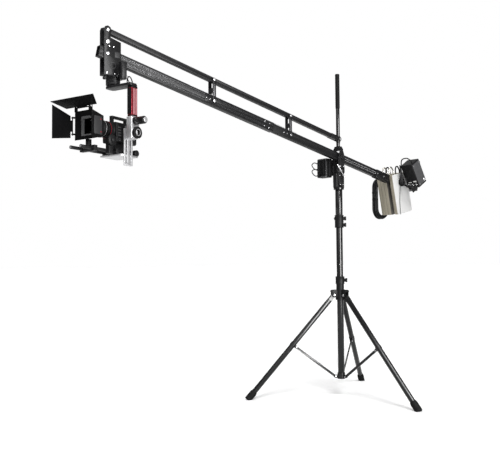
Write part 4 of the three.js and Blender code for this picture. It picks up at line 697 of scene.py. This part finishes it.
def makePole():
    dressNode("upright_pole", "standBlack", "yoke")
    makePiece("poleTube", "standBlack", "yoke", [
        (addRod, ground, pole["radius"], (0, 0, low), (0, 0, high), 0.2, 56) for low, high in pole["spans"]])
    profile = list(grip["foot"])
    radius, groove = grip["radius"], grip["groove"]
    for ring in range(grip["rings"]):
        low = grip["firstRing"] + ring * grip["pitch"]
        high = low + grip["ringHeight"]
        profile += [(groove, low), (radius, low + 0.8), (radius, high - 0.8), (groove, high)]
    makePiece("poleGrip", "rubberBlack", "yoke", [
        (addTurned, ground, profile + grip["top"], 56)], ["pole_grip"])
    makePiece("poleBolts", "clearAnodised", "yoke", [
        (addPair, ground, addHexHead, (0, pole["boltSide"], arm["pivot"] + arm["spacing"]), 6.2, 3.4)])


pack = {"front": -64, "near": 38, "far": 112, "low": 1289, "high": 1401, "middle": 1345, "inset": 4,
        "slots": (54.3, 82.4), "vents": (1359, 1367, 1375)}
powerLead = {"diameter": 5.5, "reach": 46, "drop": 34, "sideways": 5, "y": 101, "tops": (1373, 1334),
             "bends": ((0.62, -0.09), (1, 0.3), (0.8, 0.78), (0.4, 1.06)),
             "plug": [(0, -1), (5, -1), (5, 3), (4.2, 4.2), (3.2, 9), (2.8, 9.4), (0, 9.4)]}


def makePack():
    front, middle, inset, y = pack["front"], pack["middle"], pack["inset"], powerLead["y"]
    dressNode("power_pack", "plasticBlack", "yoke", 1.2, [
        *((addBlock, ground, (front + 2.2, slot, middle + 1), (2.2, 13, 74), 0.5) for slot in pack["slots"]),
        *((addBlock, ground, (-39, pack["near"] - 0.2, z), (34, 1.2, 2.6), 0.4) for z in pack["vents"])])
    sides = (pack["near"] + inset, pack["far"] - inset)
    ends = (pack["low"] + inset, pack["high"] - inset)
    makePiece("packFrame", "anodisedGrey", "yoke", [
        *((addBlock, ground, (front - 0.3, side, middle), (1.4, 4, 104), 0.5) for side in sides),
        *((addBlock, ground, (front - 0.3, sum(sides) / 2, end), (1.4, 70, 4), 0.5) for end in ends)])
    makePiece("packScrews", "brightSteel", "yoke", [
        (addScrew, ground, (front - 1, side, end), toFront, 2.2, 1.2) for side in sides for end in ends])
    makePiece("packBracket", "anodisedBlack", "yoke", [
        (addBlock, ground, (-34, 33, middle), (34, 11, 96), 1)])
    face, drop, diameter = front - 0.3 - 6, powerLead["drop"], powerLead["diameter"]
    plate = (addBlock, ground, (face + 3, y, 1337), (6, 12, 92), 1.4)
    makePiece("leadPlugs", "plasticBlack", "yoke", [plate] + [
        (addTurned, ground, powerLead["plug"], 24, (face, y, end), toFront)
        for top in powerLead["tops"] for end in (top, top - drop)])
    for i, top in enumerate(powerLead["tops"]):
        bends = [(face - powerLead["reach"] * out, y + powerLead["sideways"] * out, top - drop * down)
                 for out, down in powerLead["bends"]]
        route = [(face, y, top), (face - diameter, y, top), *bends, (face - diameter, y, top - drop),
                 (face, y, top - drop)]
        addTube(f"powerLead{i + 1}", ground, smoothRoute(route), diameter, "cableBlack", "yoke",
                () if i else ["power_leads"])


for build in (makeYoke, makePole, makePack):
    build()
print("yoke made")


# Arm

beam = {"spliceX": (-588, -622), "spliceZ": (12, -12), "endX": (358, 422), "clampX": (-51, -27.6), "edge": 2.9,
        "spliceSide": 14.9, "endSide": 17.2, "clampSide": 2.9,
        "grooves": (((-1560, -560), 15, (-10, 11)), ((42, 330), 13, (-9, 9.9))), "line": (-760, 15, 24.2)}
beamSlot = {"start": 44, "end": 336, "half": 5.6, "side": 13.3, "line": 1.8}


def makeBeams():
    for node in ("beam_rear", "beam_front", "boom_end_fitting"):
        dressNode(node, "anodisedBlack", "beam", 0.9)
    makePiece("beamBolts", "brightSteel", "beam", [
        *((addPair, armFrame, addScrew, (x, beam["spliceSide"], z), 3.2, 1.6)
          for x in beam["spliceX"] for z in beam["spliceZ"]),
        *((addPair, armFrame, addHexHead, (x, beam["endSide"], 0), 5.7, 2.6) for x in beam["endX"]),
        *((addPair, armFrame, addHexHead, (link + x, half + beam["clampSide"], 0), 4.7, 2.1)
          for link, half in zip(arm["links"], arm["halfWidths"]) for x in beam["clampX"])])
    # Thin grey lines on both beam faces, at the groove edges and one long line along each face: painted edge
    # highlights
    lines = bmesh.new()
    x, out, z = beam["line"]
    for side in (-1, 1):
        for (start, end), y, heights in beam["grooves"]:
            for height in heights:
                for edge in (-beam["edge"], beam["edge"]):
                    place = ((start + end) / 2, side * y, height + edge)
                    addBlock(lines, armFrame, place, (end - start, 0.6, 1), 0.2)
        addBlock(lines, armFrame, (x, side * out, z), (760, 0.6, 1.2), 0.2)
    finishPiece("beamLines", lines, "anodisedGrey", "beam")
    # The silver outline round the slot on each beam face is a painted highlight along the slot's edges
    half, bends = beamSlot["half"], [math.pi * step / 12 for step in range(13)]
    for i, side in enumerate((-1, 1)):
        y = side * beamSlot["side"]
        tip = [(beamSlot["end"] + half * math.sin(bend), y, half * math.cos(bend)) for bend in bends]
        route = [(beamSlot["start"], y, half), *tip, (beamSlot["start"], y, -half)]
        addTube(f"beamSlotEdge{i + 1}", armFrame, route, beamSlot["line"], "clearAnodised", "beam")


upperRod = {"screws": (-40, -66), "side": 17.1, "top": 12.5}


def makeUpperRod():
    dressNode("upper_rod", "anodisedBlack", "upper_rod", 0.7)
    here = ground @ shift(0, 0, arm["pivot"] + arm["spacing"]) @ turn(arm["tilt"], "Y")
    makePiece("rodScrews", "standBlack", "upper_rod", [
        *((addPair, here, addScrew, (x, upperRod["side"], 0), 3, 1.8) for x in upperRod["screws"]),
        *((addScrew, here, (link, 0, upperRod["top"]), up, 3.6, 2.4) for link in arm["links"])])


linkPlate = {"clearance": 0.4, "thick": 4, "strip": (9, 1, 62), "boltRadius": 7.6, "boltHeight": 4.1}


def makeLinks():
    for i, (x, half) in enumerate(zip(arm["links"], arm["halfWidths"])):
        here = ground @ shift(*onArm(x))
        body = f"link_{i + 1}"
        outer = half + linkPlate["clearance"] + linkPlate["thick"]
        dressNode(body, "anodisedBlack", body, 0.7)
        makePiece(f"linkStrip{i + 1}", "anodisedGrey", body, [
            (addBlock, here, (0, side * (outer + 0.2), arm["spacing"] / 2), linkPlate["strip"], 0.4)
            for side in (-1, 1)])
        makePiece(f"linkBolts{i + 1}", "brightSteel", body, [
            (addPair, here, addHexHead, (0, outer, z), linkPlate["boltRadius"], linkPlate["boltHeight"])
            for z in (0, arm["spacing"])])


weight = {"width": 158, "above": 59, "height": 256, "thick": 24, "gap": 0.8, "start": 12.8, "corner": 12,
          "edge": 1.6,
          "handleHalf": 20, "handleHeight": 46, "handleDiameter": 8.4, "sink": 4}


# Plate weights with rounded corners and a bent handle let into the top, every second handle of bare steel
def makeWeights():
    pitch = weight["thick"] + weight["gap"]
    places = [-weight["start"] - weight["thick"]] + [weight["start"] + i * pitch for i in range(3)]
    top, half, rise = weight["above"], weight["handleHalf"], weight["handleHeight"]
    arch = [(-half, -weight["sink"]), (-half, rise * 0.5), (-half * 0.5, rise * 0.93), (0, rise),
            (half * 0.5, rise * 0.93), (half, rise * 0.5), (half, -weight["sink"])]
    for i, y in enumerate(places):
        middle = y + weight["thick"] / 2
        mesh = bmesh.new()
        part = bmesh.new()
        size = (weight["width"], weight["thick"], weight["height"])
        centre = (0, middle, top - weight["height"] / 2)
        bmesh.ops.create_cube(part, size=1, matrix=shift(*centre) @ Matrix.Diagonal((*size, 1)))
        corners = [e for e in part.edges if abs(e.verts[0].co.y - e.verts[1].co.y) > weight["thick"] / 2]
        bmesh.ops.bevel(part, geom=corners, offset=weight["corner"], segments=6, profile=0.5, affect="EDGES",
                        material=-1)
        roundEdges(part, weight["edge"], 50, 3)
        absorb(mesh, part, weightFrame)
        # Plates after the first take the darker zinc copy: painted shade between the plates
        finishPiece(f"weight{i + 1}", mesh, "zincPaintedShade" if i else "zincPlate", "beam", [f"weight_{i + 1}"])
        addTube(f"weightHandle{i + 1}", weightFrame, smoothRoute([(x, middle, top + z) for x, z in arch]),
                weight["handleDiameter"], "handleSteel" if i % 2 else "nylonBlack", "beam")


# The stretches of the bar: radius, start, end, chamfer and steps
barStretches = ((12.6, -58, -12.9, 1.4, 48), (19.1, 87.3, 91.3, 0.8, 56), (19.1, 135, 139.1, 0.8, 56),
                (12.6, 91, 135.2, 0.2, 48))


def makeWeightBar():
    dressNode("weight_bar", "brightSteel", "beam", 0.6, [
        (addRod, weightFrame, radius, (0, start, 0), (0, end, 0), chamfer, steps)
        for radius, start, end, chamfer, steps in barStretches])
    dressNode("weight_nut", "nylonBlack", "weight_nut", 1.0)


hank = {"diameter": 9, "pitch": 10, "layers": 4, "turns": 2, "radius": 48, "run": 68, "aside": 17, "gap": 1,
        "arcSteps": 16, "runSteps": 8, "startTail": 34, "barRadius": 12.5, "clearance": 0.3,
        "tail": [(32, 132, -37), (38, 138, -50), (52, 139, -58), (72, 134, -54), (98, 118, -28), (114, 84, 6),
                 (116, 24, 22), (106, -24, 44), (82, -43, 59)],
        "plug": [(0, -0.2), (8.5, -0.2), (8.5, 5), (7.4, 6.5), (6.4, 15), (4.8, 19), (4.6, 19.4), (0, 19.4)]}
tie = {"outer": 19.6, "inner": 17.8, "height": 10, "squash": (0.84, 1.1), "out": 58, "middle": 111.7,
       "levels": (-10, 34)}
box = {"depth": 92, "tall": 162, "near": -150, "far": -68, "middle": -109}
plugPlace = (30, box["far"] + hank["clearance"], -10)


# A place on one loop of the hank: half a turn, a straight run, half a turn and the run back
def hankLoopPlace(step, radius):
    arc, run, length = hank["arcSteps"], hank["runSteps"], hank["run"]
    if step < arc:
        bend = math.pi * step / arc
        return radius * math.cos(bend), -length - radius * math.sin(bend)
    if step < arc + run:
        return -radius, -length + 2 * length * (step - arc) / run
    if step < 2 * arc + run:
        bend = math.pi * (step - arc - run) / arc
        return -radius * math.cos(bend), length + radius * math.sin(bend)
    return radius, length - 2 * length * (step - 2 * arc - run) / run


# Loops that spiral out in one layer and in again in the next, then the tail to the control box
def hankPath():
    loopSteps = 2 * (hank["arcSteps"] + hank["runSteps"])
    layerSteps = hank["turns"] * loopSteps
    spiralSteps = layerSteps - hank["runSteps"]
    seat = hank["radius"] - hank["diameter"] / 2 - hank["barRadius"] - hank["clearance"]
    low = math.sqrt(seat * seat - hank["aside"] ** 2) + hank["run"]
    weights = 3 * (weight["thick"] + weight["gap"])
    firstLayer = weight["start"] + weights + 4 + hank["gap"] + hank["diameter"] / 2
    path = [(hank["radius"] - hank["aside"] - hank["diameter"], firstLayer,
             hank["startTail"] - hank["run"] - low)]
    for step in range(hank["layers"] * layerSteps - hank["runSteps"] + 1):
        layer, within = divmod(step, layerSteps)
        outwards = min(within, spiralSteps) / loopSteps
        spiral = spiralSteps / loopSteps - outwards if layer % 2 else outwards
        climb = max(within - spiralSteps, 0) / hank["runSteps"]
        x, z = hankLoopPlace(step % loopSteps, hank["radius"] + spiral * hank["pitch"])
        path.append((x - hank["aside"], firstLayer + (layer + climb) * hank["pitch"], z - low))
    toBar = barFrame.inverted() @ boxFrame
    x, y, z = plugPlace
    plugged = [toBar @ Vector((x, y + hank["diameter"] * out, z)) for out in (2, 1, 0)]
    return path + smoothRoute([path[-1], *hank["tail"], *plugged])[1:], low


def makeHank():
    path, low = hankPath()
    addTube("cableHank", barFrame, path, hank["diameter"], "cableBlack", "beam", ["cable_hank"])
    makePiece("hankPlug", "nylonBlack", "beam", [(addTurned, boxFrame, hank["plug"], 32, plugPlace, toFar)])
    squash = Matrix.Diagonal((*tie["squash"], 1, 1))
    makePiece("hankTies", "rubberBlack", "beam", [
        (addRing, barFrame @ shift(side * tie["out"] - hank["aside"], tie["middle"], level - low) @ squash,
         tie["outer"], tie["inner"], (0, 0, -tie["height"] / 2), up, tie["height"], 0.4, 40)
        for level in tie["levels"] for side in (-1, 1)])


socket = {"along": (-26, 0, 26), "level": -58, "outer": 8, "bore": 5.2, "height": 3.2}
sideSocket = {"along": 30, "level": -58, "outer": 10, "bore": 6, "height": 3}
stick = {"place": (5.3, -8, 40),
         "profile": [(0, -0.1), (2.5, 0.9), (4.1, 4), (3.6, 16), (3.2, 20), (6.4, 24.4), (8.1, 30),
                     (6.4, 35.6), (0, 38.1)]}
speed = {"place": (0.3, -22, -58),
         "profile": [(9.1, 0.1), (9.1, 3), (8.4, 3.6), (8.4, 10.6), (7.4, 11.8), (0, 11.8)]}


# Control box: banded case, grey side panels, sockets and vents on the front, and leads that loop over the top
def makeControlBox():
    front, middle, near, far, top = -box["depth"] / 2, box["middle"], box["near"], box["far"], box["tall"] / 2
    band = (box["depth"] + 1.2, far - near + 1.2, 3)
    dressNode("control_box", "plasticBlack", "beam", 2.0, [
        (addBlock, boxFrame, (0, middle, z), band, 0.6) for z in (-66, 66)])
    makePiece("boxSidePanels", "plasticGrey", "beam", [
        (addBlock, boxFrame, (2, near - 0.5, 0), (80, 1.8, 144)),
        (addBlock, boxFrame, (0, far + 0.3, 0), (76, 1.6, 140))])
    sockets = [(middle + along, socket["level"]) for along in socket["along"]]
    side, level = sideSocket["along"], sideSocket["level"]
    makePiece("boxFittings", "brightSteel", "beam", [
        *((addScrew, boxFrame, (x, near - 1.4, z), toNear, 2.6, 1.4) for x in (-30, 34) for z in (-62, 62)),
        *((addRing, boxFrame, socket["outer"], socket["bore"], (front + 0.5, y, z), toFront,
           socket["height"], 0.5, 40)
          for y, z in sockets),
        (addRing, boxFrame, sideSocket["outer"], sideSocket["bore"], (side, near - 1.2, level), toNear,
         sideSocket["height"], 0.5, 40)])
    makePiece("boxPlates", "contactWhite", "beam", [
        (addBlock, boxFrame, (front - 0.2, middle - 24, -36), (1, 22, 9), 0.3),
        (addBlock, boxFrame, (front - 0.2, middle + 14, -40), (1, 24, 5), 0.3)])
    makePiece("boxSockets", "rubberBlack", "beam", [
        *((addRod, boxFrame, socket["bore"] + 0.1, (front + 0.4, y, z), (front - 1.6, y, z), 0.3, 32)
          for y, z in sockets),
        (addRod, boxFrame, sideSocket["bore"] + 0.1, (side, near - 1, level), (side, near - 2.6, level),
         0.3, 32),
        *((addBlock, boxFrame, (front - 0.2, middle, 58 - row * 7), (1.2, 60, 2.6), 0.3)
          for row in range(5))])
    loop = [(-38, far - 6, top - 4), (-38, far - 6, top + 12), (-34, middle + 20, top + 38),
            (-28, middle - 12, top + 40), (-22, near + 12, top + 20), (-20, near + 10, top - 2)]
    addTube("boxLoop", boxFrame, smoothRoute(loop), 7.2, "cableBlack", "beam")
    for i, (y, z) in enumerate(sockets):
        lift = 7 * i
        lead = [(front - 1, y, z), (front - 18, y, z - 4), (front - 44 + lift, y + 14, z + 8 + lift),
                (front - 42 + lift, far + 5, z + 34), (front - 22 + lift, far + 8, 10),
                (front - 4 + lift / 2, far + 8, 54), (-38, far + 7, top + 4)]
        addTube(f"socketLead{i + 1}", boxFrame, smoothRoute(lead), 8.4, "cableBlack", "beam")
    hanging = [(0, 0, 0), (4, 4, -60), (10, 12, -130), (16, 20, -210), (24, 22, -296)]
    plumb = Matrix.Translation(boxFrame @ Vector((-44, far + 6, top - 12))) @ Matrix.Scale(mm, 4)
    addTube("controlLead", plumb, smoothRoute(hanging), 3.2, "cableBlack", "beam")
    for node, control, width, steps in (("control_stick", stick, 0.3, 40), ("speed_knob", speed, 0.6, 48)):
        here = boxFrame @ shift(box["depth"] / 2, middle, 0)
        dressNode(node, "nylonBlack", node, width, [
            (addTurned, here, control["profile"], steps, control["place"], toRear)])


for build in (makeBeams, makeUpperRod, makeLinks, makeWeights, makeWeightBar, makeHank, makeControlBox):
    build()
print("arm made")


# Head mount, remote head and camera rig

headMount = {"side": 20.4, "hexRadius": 8.6, "hexHeight": 4.1,
             "smallScrews": ((30, 34, 3.6), (8, 34, 3.6), (-4, -88, 4.2), (36, -88, 4.2), (56, -88, 4.2))}
panBase = [(0, 1596.8), (31, 1596.8), (32.3, 1598.2), (32.3, 1604), (31.4, 1605), (31.4, 1608), (32.3, 1609),
           (32.3, 1618), (31.4, 1620.5), (31.4, 1626), (0, 1626)]


def makeHeadMount():
    here = ground @ shift(*frontPivot)
    out, spacing = headMount["side"], arm["spacing"]
    dressNode("front_plates", "anodisedBlack", "head_mount", 0.9)
    dressNode("pan_base", "anodisedBlack", "head_mount", 0.9, [
        (addTurned, panFrame, panBase, 72), (addRing, panFrame, 35, 26, (0, 0, 1627.8), up, 3, 0.6, 72)])
    makePiece("headMountBolts", "brightSteel", "head_mount", [
        *((addPair, here, addHexHead, (0, out, z), headMount["hexRadius"], headMount["hexHeight"])
          for z in (spacing, 0)),
        (addPair, here, addScrew, (0, out, spacing / 2), 9.5, 3.4),
        *((addPair, here, addScrew, (x, out, z), radius, 2.4) for x, z, radius in headMount["smallScrews"])])
    makePiece("headMountStrips", "hoodGrey", "head_mount", [
        *((addBlock, here, (48, side * 20.5, 0), (26, 1, 26), 0.4) for side in (-1, 1)),
        *((addRing, here, 16, 11, (26, side * 20.2, -52), (0, side, 0), 1.4, 0.4, 40) for side in (-1, 1))])


sideColumn = {"x": 11, "y": -107, "z": 1512, "length": 116, "width": 39.2, "depth": 25.2,
              "caps": ((1576.8, 9.4, 1.4), (1449, 6, 1.2))}
motor = {"x": 11, "y": -122.3, "z": 1424, "eye": (-183, -184.1),
         "profile": [(17.1, -0.1), (17.1, 8), (16.5, 8.6), (16.5, 11), (17.1, 11.6), (17.1, 54), (15.6, 56.1),
                     (13.1, 56.1), (13.1, 59.6), (11.8, 61.1), (0, 61.1)]}
headLead = [(0, -86, 1592.3), (0, -86, 1598), (-2, -88, 1612), (-5, -100, 1623), (-5, -112, 1614),
            (0, -115, 1599),
            (0, -115, 1592.3)]
motorLead = [(16, -72, 1622), (16, -78, 1612), (8, -92, 1600), (-2, -106, 1597), (-6, -112, 1592.4)]


def makeHead():
    tilt = rigFrame @ shift(rig["tiltX"], rig["tiltY"], rig["tiltZ"])
    motorPlace = (motor["x"], motor["y"], motor["z"])
    dressNode("head_arm", "anodisedBlack", "head", 1.0, [
        (addTurned, rigFrame, [(0, 1596.6), (25, 1596.6), (26.1, 1595.6), (26.1, 1592), (0, 1592)], 64)])
    dressNode("side_column", "redAnodised", "head", 1.2)
    dressNode("tilt_gearbox", "clearAnodised", "head", 1.0, [
        (addRing, tilt, 26.1, 11.6, (0, 0.5, 0), toNear, 4, 0.8, 64)])
    dressNode("tilt_motor", "plasticBlack", "head", 0.6, [
        (addTurned, rigFrame, motor["profile"], 56, motorPlace, toNear)])
    x, y, z, length = sideColumn["x"], sideColumn["y"], sideColumn["z"], sideColumn["length"]
    rail = (addBlock, rigFrame, (-9.2, y, z), (3.4, 23, length), 0.5)
    makePiece("columnRail", "nylonBlack", "head", [rail] + [
        (addBlock, rigFrame, (along, y + out, z), (3, thick, length), 0.3)
        for along in (0, 13) for out, thick in ((-12.6, 1.6), (12.2, 1.2))])
    # The near face in the lighter copy of the red is a painted highlight
    makePiece("columnFace", "redPaintedHighlight", "head", [
        (addBlock, rigFrame, (14, y - 12.4, z), (27, 1, length), 0.3)])
    makePiece("columnCaps", "plasticBlack", "head", [
        (addBlock, rigFrame, (x, y, middle), (sideColumn["width"], sideColumn["depth"], height), width)
        for middle, height, width in sideColumn["caps"]])
    makePiece("tiltDrum", "plasticBlack", "head", [
        (addRing, tilt, 26.5, 11.5, (0, -2.6, 0), toNear, 13.9, 1.2, 64)])
    makePiece("headBrights", "clearAnodised", "head", [
        (addRing, tilt, 15.4, 12.6, (0, -16.2, 0), toNear, 1, 0.3, 56),
        (addRod, rigFrame, 12, *[(motor["x"], end, motor["z"]) for end in motor["eye"]], 0.4),
        (addRod, rigFrame, 3.6, (16, -72, 1632), (16, -73.2, 1632), 0.3, 24)])
    makePiece("headScrews", "brightSteel", "head", [
        *((addScrew, rigFrame, (x, rig["tiltY"], z), toNear, 2.6, 1.6)
          for x in (-8, 34) for z in (1350, 1437)),
        *((addScrew, rigFrame, (x, y, 1592), up, 2.8, 1.8) for x in (-8, 30) for y in (-116, -98))])
    addTube("headLead", rigFrame, smoothRoute(headLead), 5, "cableBlack", "head", ["head_lead"])
    addTube("motorLead", rigFrame, smoothRoute(motorLead), 4.4, "cableBlack", "head")


rods = {"y": 30, "z": 1291, "radius": 7.6, "spans": ((-226.1, -160), (-140, -25), (73, 108.1)), "end": -226}
focus = {"place": (-64, -50.3, 1336),
         "profile": [(24, 0.1), (25.1, 1), (25.1, 7.8), (24, 9.1), (13, 9.1), (11.1, 10),
                     (11.1, 15.6), (10, 17.1), (0, 17.1)]}
casePanel = {"side": 42.6, "z": 1384, "vents": (1366, 1378, 1390, 1402), "socketZ": 1348, "rear": -2,
             "screwSide": 43.2, "screwX": (36, 92), "screwZ": (1358, 1410)}


def makeCamera():
    rodSides = (-rods["y"], rods["y"])
    dressNode("camera_cradle", "clearAnodised", "camera", 0.8)
    dressNode("rod_base", "anodisedBlack", "camera", 0.8, [
        (addRod, rigFrame, rods["radius"], (start, y, rods["z"]), (end, y, rods["z"]), 0.8, 40)
        for y in rodSides for start, end in rods["spans"]])
    dressNode("focus_wheel", "nylonBlack", "focus_wheel", 0.5, [
        (addTurned, rigFrame, focus["profile"], 64, focus["place"], toNear)])
    dressNode("camera_body", "plasticBlack", "camera", 1.2)
    makePiece("cradleKnob", "nylonBlack", "camera", [
        (addRod, rigFrame, 15, (78, -56, 1292), (78, -74, 1292), 1.4, 40)])
    z, rear = casePanel["z"], casePanel["rear"]
    panels = [(addBlock, rigFrame, (110.6, 0, z), (1.8, 60, 62), 0.6)]
    for side in (-1, 1):
        y = side * casePanel["side"]
        panels += [(addBlock, rigFrame, (64, y, z), (66, 1.6, 60), 0.6),
                   *((addBlock, rigFrame, (rear, y, vent), (18, 1.4, 6), 0.5) for vent in casePanel["vents"]),
                   (addRing, rigFrame, 7, 4, (rear, y, casePanel["socketZ"]), (0, side, 0), 1.6, 0.4, 32)]
    makePiece("cameraPanels", "plasticGrey", "camera", panels)
    makePiece("cameraScrews", "brightSteel", "camera", [
        *((addPair, rigFrame, addScrew, (x, casePanel["screwSide"], z), 1.8, 1)
          for x in casePanel["screwX"] for z in casePanel["screwZ"]),
        *((addScrew, rigFrame, (rods["end"], y, rods["z"]), toFront, 4.4, 1.2) for y in rodSides)])


lens = {"barrel": [(0, 30.3), (36, 30.3), (38, 31.6), (38, 40), (37.2, 40.6), (37.2, 44), (38, 44.6), (38, 51),
                   (34, 52.4), (34, 56), (33.2, 56.6), (33.2, 70), (34, 70.6), (34, 74), (38.6, 74.6), (40, 76),
                   (40, 108), (38.8, 112), (29, 112), (27.4, 110), (27.2, 98.2), (0, 98.2)],
        "glass": [(0, 104.4), (9, 103.9), (18, 102.3), (25, 99.6), (27, 98.4)],
        "redBand": [(37.6, 47), (38.7, 47), (38.7, 49.6), (37.6, 49.6), (37.6, 47)],
        "brightBand": [(39.6, 79), (40.6, 79), (40.6, 81), (39.6, 81), (39.6, 79)]}
gear = {"start": 58, "width": 9, "radius": 37.4, "root": 0.955, "teeth": 36}


# The lens: a turned barrel with one toothed ring, two coloured bands and a coated front glass
def makeLens():
    here = rigFrame @ shift(0, 0, rig["lensZ"]) @ turn(-90, "Y")
    makePiece("lensBarrel", "plasticBlack", "camera", [(addTurned, here, lens["barrel"], 80)], ["lens"])
    mesh = bmesh.new()
    part = bmesh.new()
    bmesh.ops.create_circle(part, cap_ends=True, segments=gear["teeth"] * 4, radius=gear["radius"])
    for i, vert in enumerate(part.verts):
        vert.co *= 1 if i % 4 < 2 else gear["root"]
    raiseDisc(part, gear["width"])
    absorb(mesh, part, here @ shift(0, 0, gear["start"]))
    finishPiece("lensGear", mesh, "nylonBlack", "camera")
    makePiece("lensRedBand", "redAnodised", "camera", [(addTurned, here, lens["redBand"], 80)])
    makePiece("lensBrightBand", "clearAnodised", "camera", [(addTurned, here, lens["brightBand"], 80)])
    makePiece("lensGlass", "glassDark", "camera", [(addTurned, here, lens["glass"], 64)])


matteBox = {"front": (-161, 33.2, 42.9), "back": (-150.4, 25.5, 34.5), "lining": 0.9,
            "stops": (-115, 23.5, 32.5),
            "sides": (-146, 52.2, 0), "accents": (-128, -52.2, 27.2)}


def makeMatteBox():
    here = rigFrame @ shift(0, 0, rig["lensZ"])
    corners = ((-1, -1), (1, -1), (1, 1), (-1, 1))
    x, y, z = matteBox["stops"]
    dressNode("matte_box", "flagBlack", "camera", 0, [
        (addBlock, here, (x, y * a, z * b), (3, 6, 6), 0.4) for a, b in corners])
    for flag in ("top_flag", "side_flag_near", "side_flag_far"):
        dressNode(flag, "flagBlack", flag, 0.5)
    mesh = bmesh.new()
    part = bmesh.new()
    rings = []
    thick = matteBox["lining"]
    for end, inset in (("front", 0), ("back", 0), ("back", thick), ("front", thick)):
        x, y, z = matteBox[end]
        rings.append([part.verts.new((x, (y - inset) * a, (z - inset) * b)) for a, b in corners])
    for first, second in zip(rings, rings[1:] + rings[:1]):
        for i in range(4):
            part.faces.new((first[i], first[i - 1], second[i - 1], second[i]))
    bmesh.ops.recalc_face_normals(part, faces=part.faces)
    absorb(mesh, part, here)
    # The light grey of the lining is painted light in the shaded mouth of the black matte box
    finishPiece("matteBoxFrame", mesh, "liningPaintedLight", "camera")
    x, y, z = matteBox["sides"]
    makePiece("matteBoxSides", "hoodGrey", "camera", [
        (addBlock, here, (x, side * y, z), (48, 1, 78), 0.4) for side in (-1, 1)])
    x, y, z = matteBox["accents"]
    makePiece("matteBoxAccents", "redAnodised", "camera", [
        (addBlock, here, (x, y, end * z), (8, 1.4, 5), 0.5) for end in (-1, 1)])


for build in (makeHeadMount, makeHead, makeCamera, makeLens, makeMatteBox):
    build()
print("head and camera made")


# Floor, light and camera

def makeStage():
    floorMesh = bmesh.new()
    bmesh.ops.create_grid(floorMesh, x_segments=1, y_segments=1, size=60)
    floor = addObject("floor", meshData("floor", floorMesh))
    material, tree, shader = newMaterial("paleFloor")
    setInputs(shader, {"Base Color": (0.9, 0.9, 0.9, 1), "Roughness": 0.8, "Specular IOR Level": 0.0,
                       "Emission Color": (1, 1, 1, 1)})
    path = addNode(tree, "ShaderNodeLightPath")
    glow = addNode(tree, "ShaderNodeMath", {1: 0.2}, {0: path.outputs["Is Camera Ray"]}, operation="MULTIPLY")
    tree.links.new(glow.outputs[0], shader.inputs["Emission Strength"])
    floor.data.materials.append(material)


suns = {
    "keySun": {"azimuth": 238, "elevation": 50, "strength": 2.0, "spread": 20},
    "fillSun": {"azimuth": 200, "elevation": 30, "strength": 0.6, "spread": 40},
    "backSun": {"azimuth": 80, "elevation": 52, "strength": 0.5, "spread": 40},
}
strip = {"size": (1.3, 2.8), "energy": 280, "place": (-0.22, -2.95, 1.3), "target": (0.5, 0.1, 1.1)}
backdrop = {"light": 0.34, "seen": 1.0}


def placeLamp(name, lamp, aim):
    holder = addObject(name, lamp)
    holder.rotation_euler = aim.to_track_quat("-Z", "Y").to_euler()
    return holder


def makeLights():
    world = bpy.data.worlds.new("studio")
    bpy.context.scene.world = world
    world.use_nodes = True
    tree = world.node_tree
    background = tree.nodes["Background"]
    path = addNode(tree, "ShaderNodeLightPath")
    level = addNode(tree, "ShaderNodeMapRange", {"To Min": backdrop["light"], "To Max": backdrop["seen"]}, {
        "Value": path.outputs["Is Camera Ray"]})
    tree.links.new(level.outputs["Result"], background.inputs["Strength"])
    background.inputs["Color"].default_value = (1, 1, 1, 1)
    for name, sun in suns.items():
        lamp = bpy.data.lights.new(name, "SUN")
        lamp.energy = sun["strength"]
        lamp.angle = math.radians(sun["spread"])
        toSun = turn(sun["azimuth"], "Z").to_3x3() @ turn(-sun["elevation"], "Y").to_3x3() @ Vector((1, 0, 0))
        placeLamp(name, lamp, -toSun)
    lamp = bpy.data.lights.new("stripLamp", "AREA")
    lamp.shape = "RECTANGLE"
    lamp.size, lamp.size_y = strip["size"]
    lamp.energy = strip["energy"]
    holder = placeLamp("stripLamp", lamp, Vector(strip["target"]) - Vector(strip["place"]))
    holder.location = strip["place"]
    holder.visible_diffuse = False


view = {"place": (-3148, -2749, 808), "direction": (0.66321, 0.74708, 0.04602), "roll": -0.008, "lens": 50.4,
        "sensor": 36}


def makeCameraView():
    data = bpy.data.cameras.new("photoCamera")
    data.lens = view["lens"]
    data.sensor_width = view["sensor"]
    holder = addObject("photoCamera", data)
    holder.location = ground @ Vector(view["place"])
    aim = Vector(view["direction"]).to_track_quat("-Z", "Y")
    holder.rotation_euler = (aim @ Quaternion((0, 0, 1), view["roll"])).to_euler()
    bpy.context.scene.camera = holder
    bpy.context.scene.view_settings.view_transform = "Standard"


makeStage()
makeLights()
makeCameraView()
print("scene made")
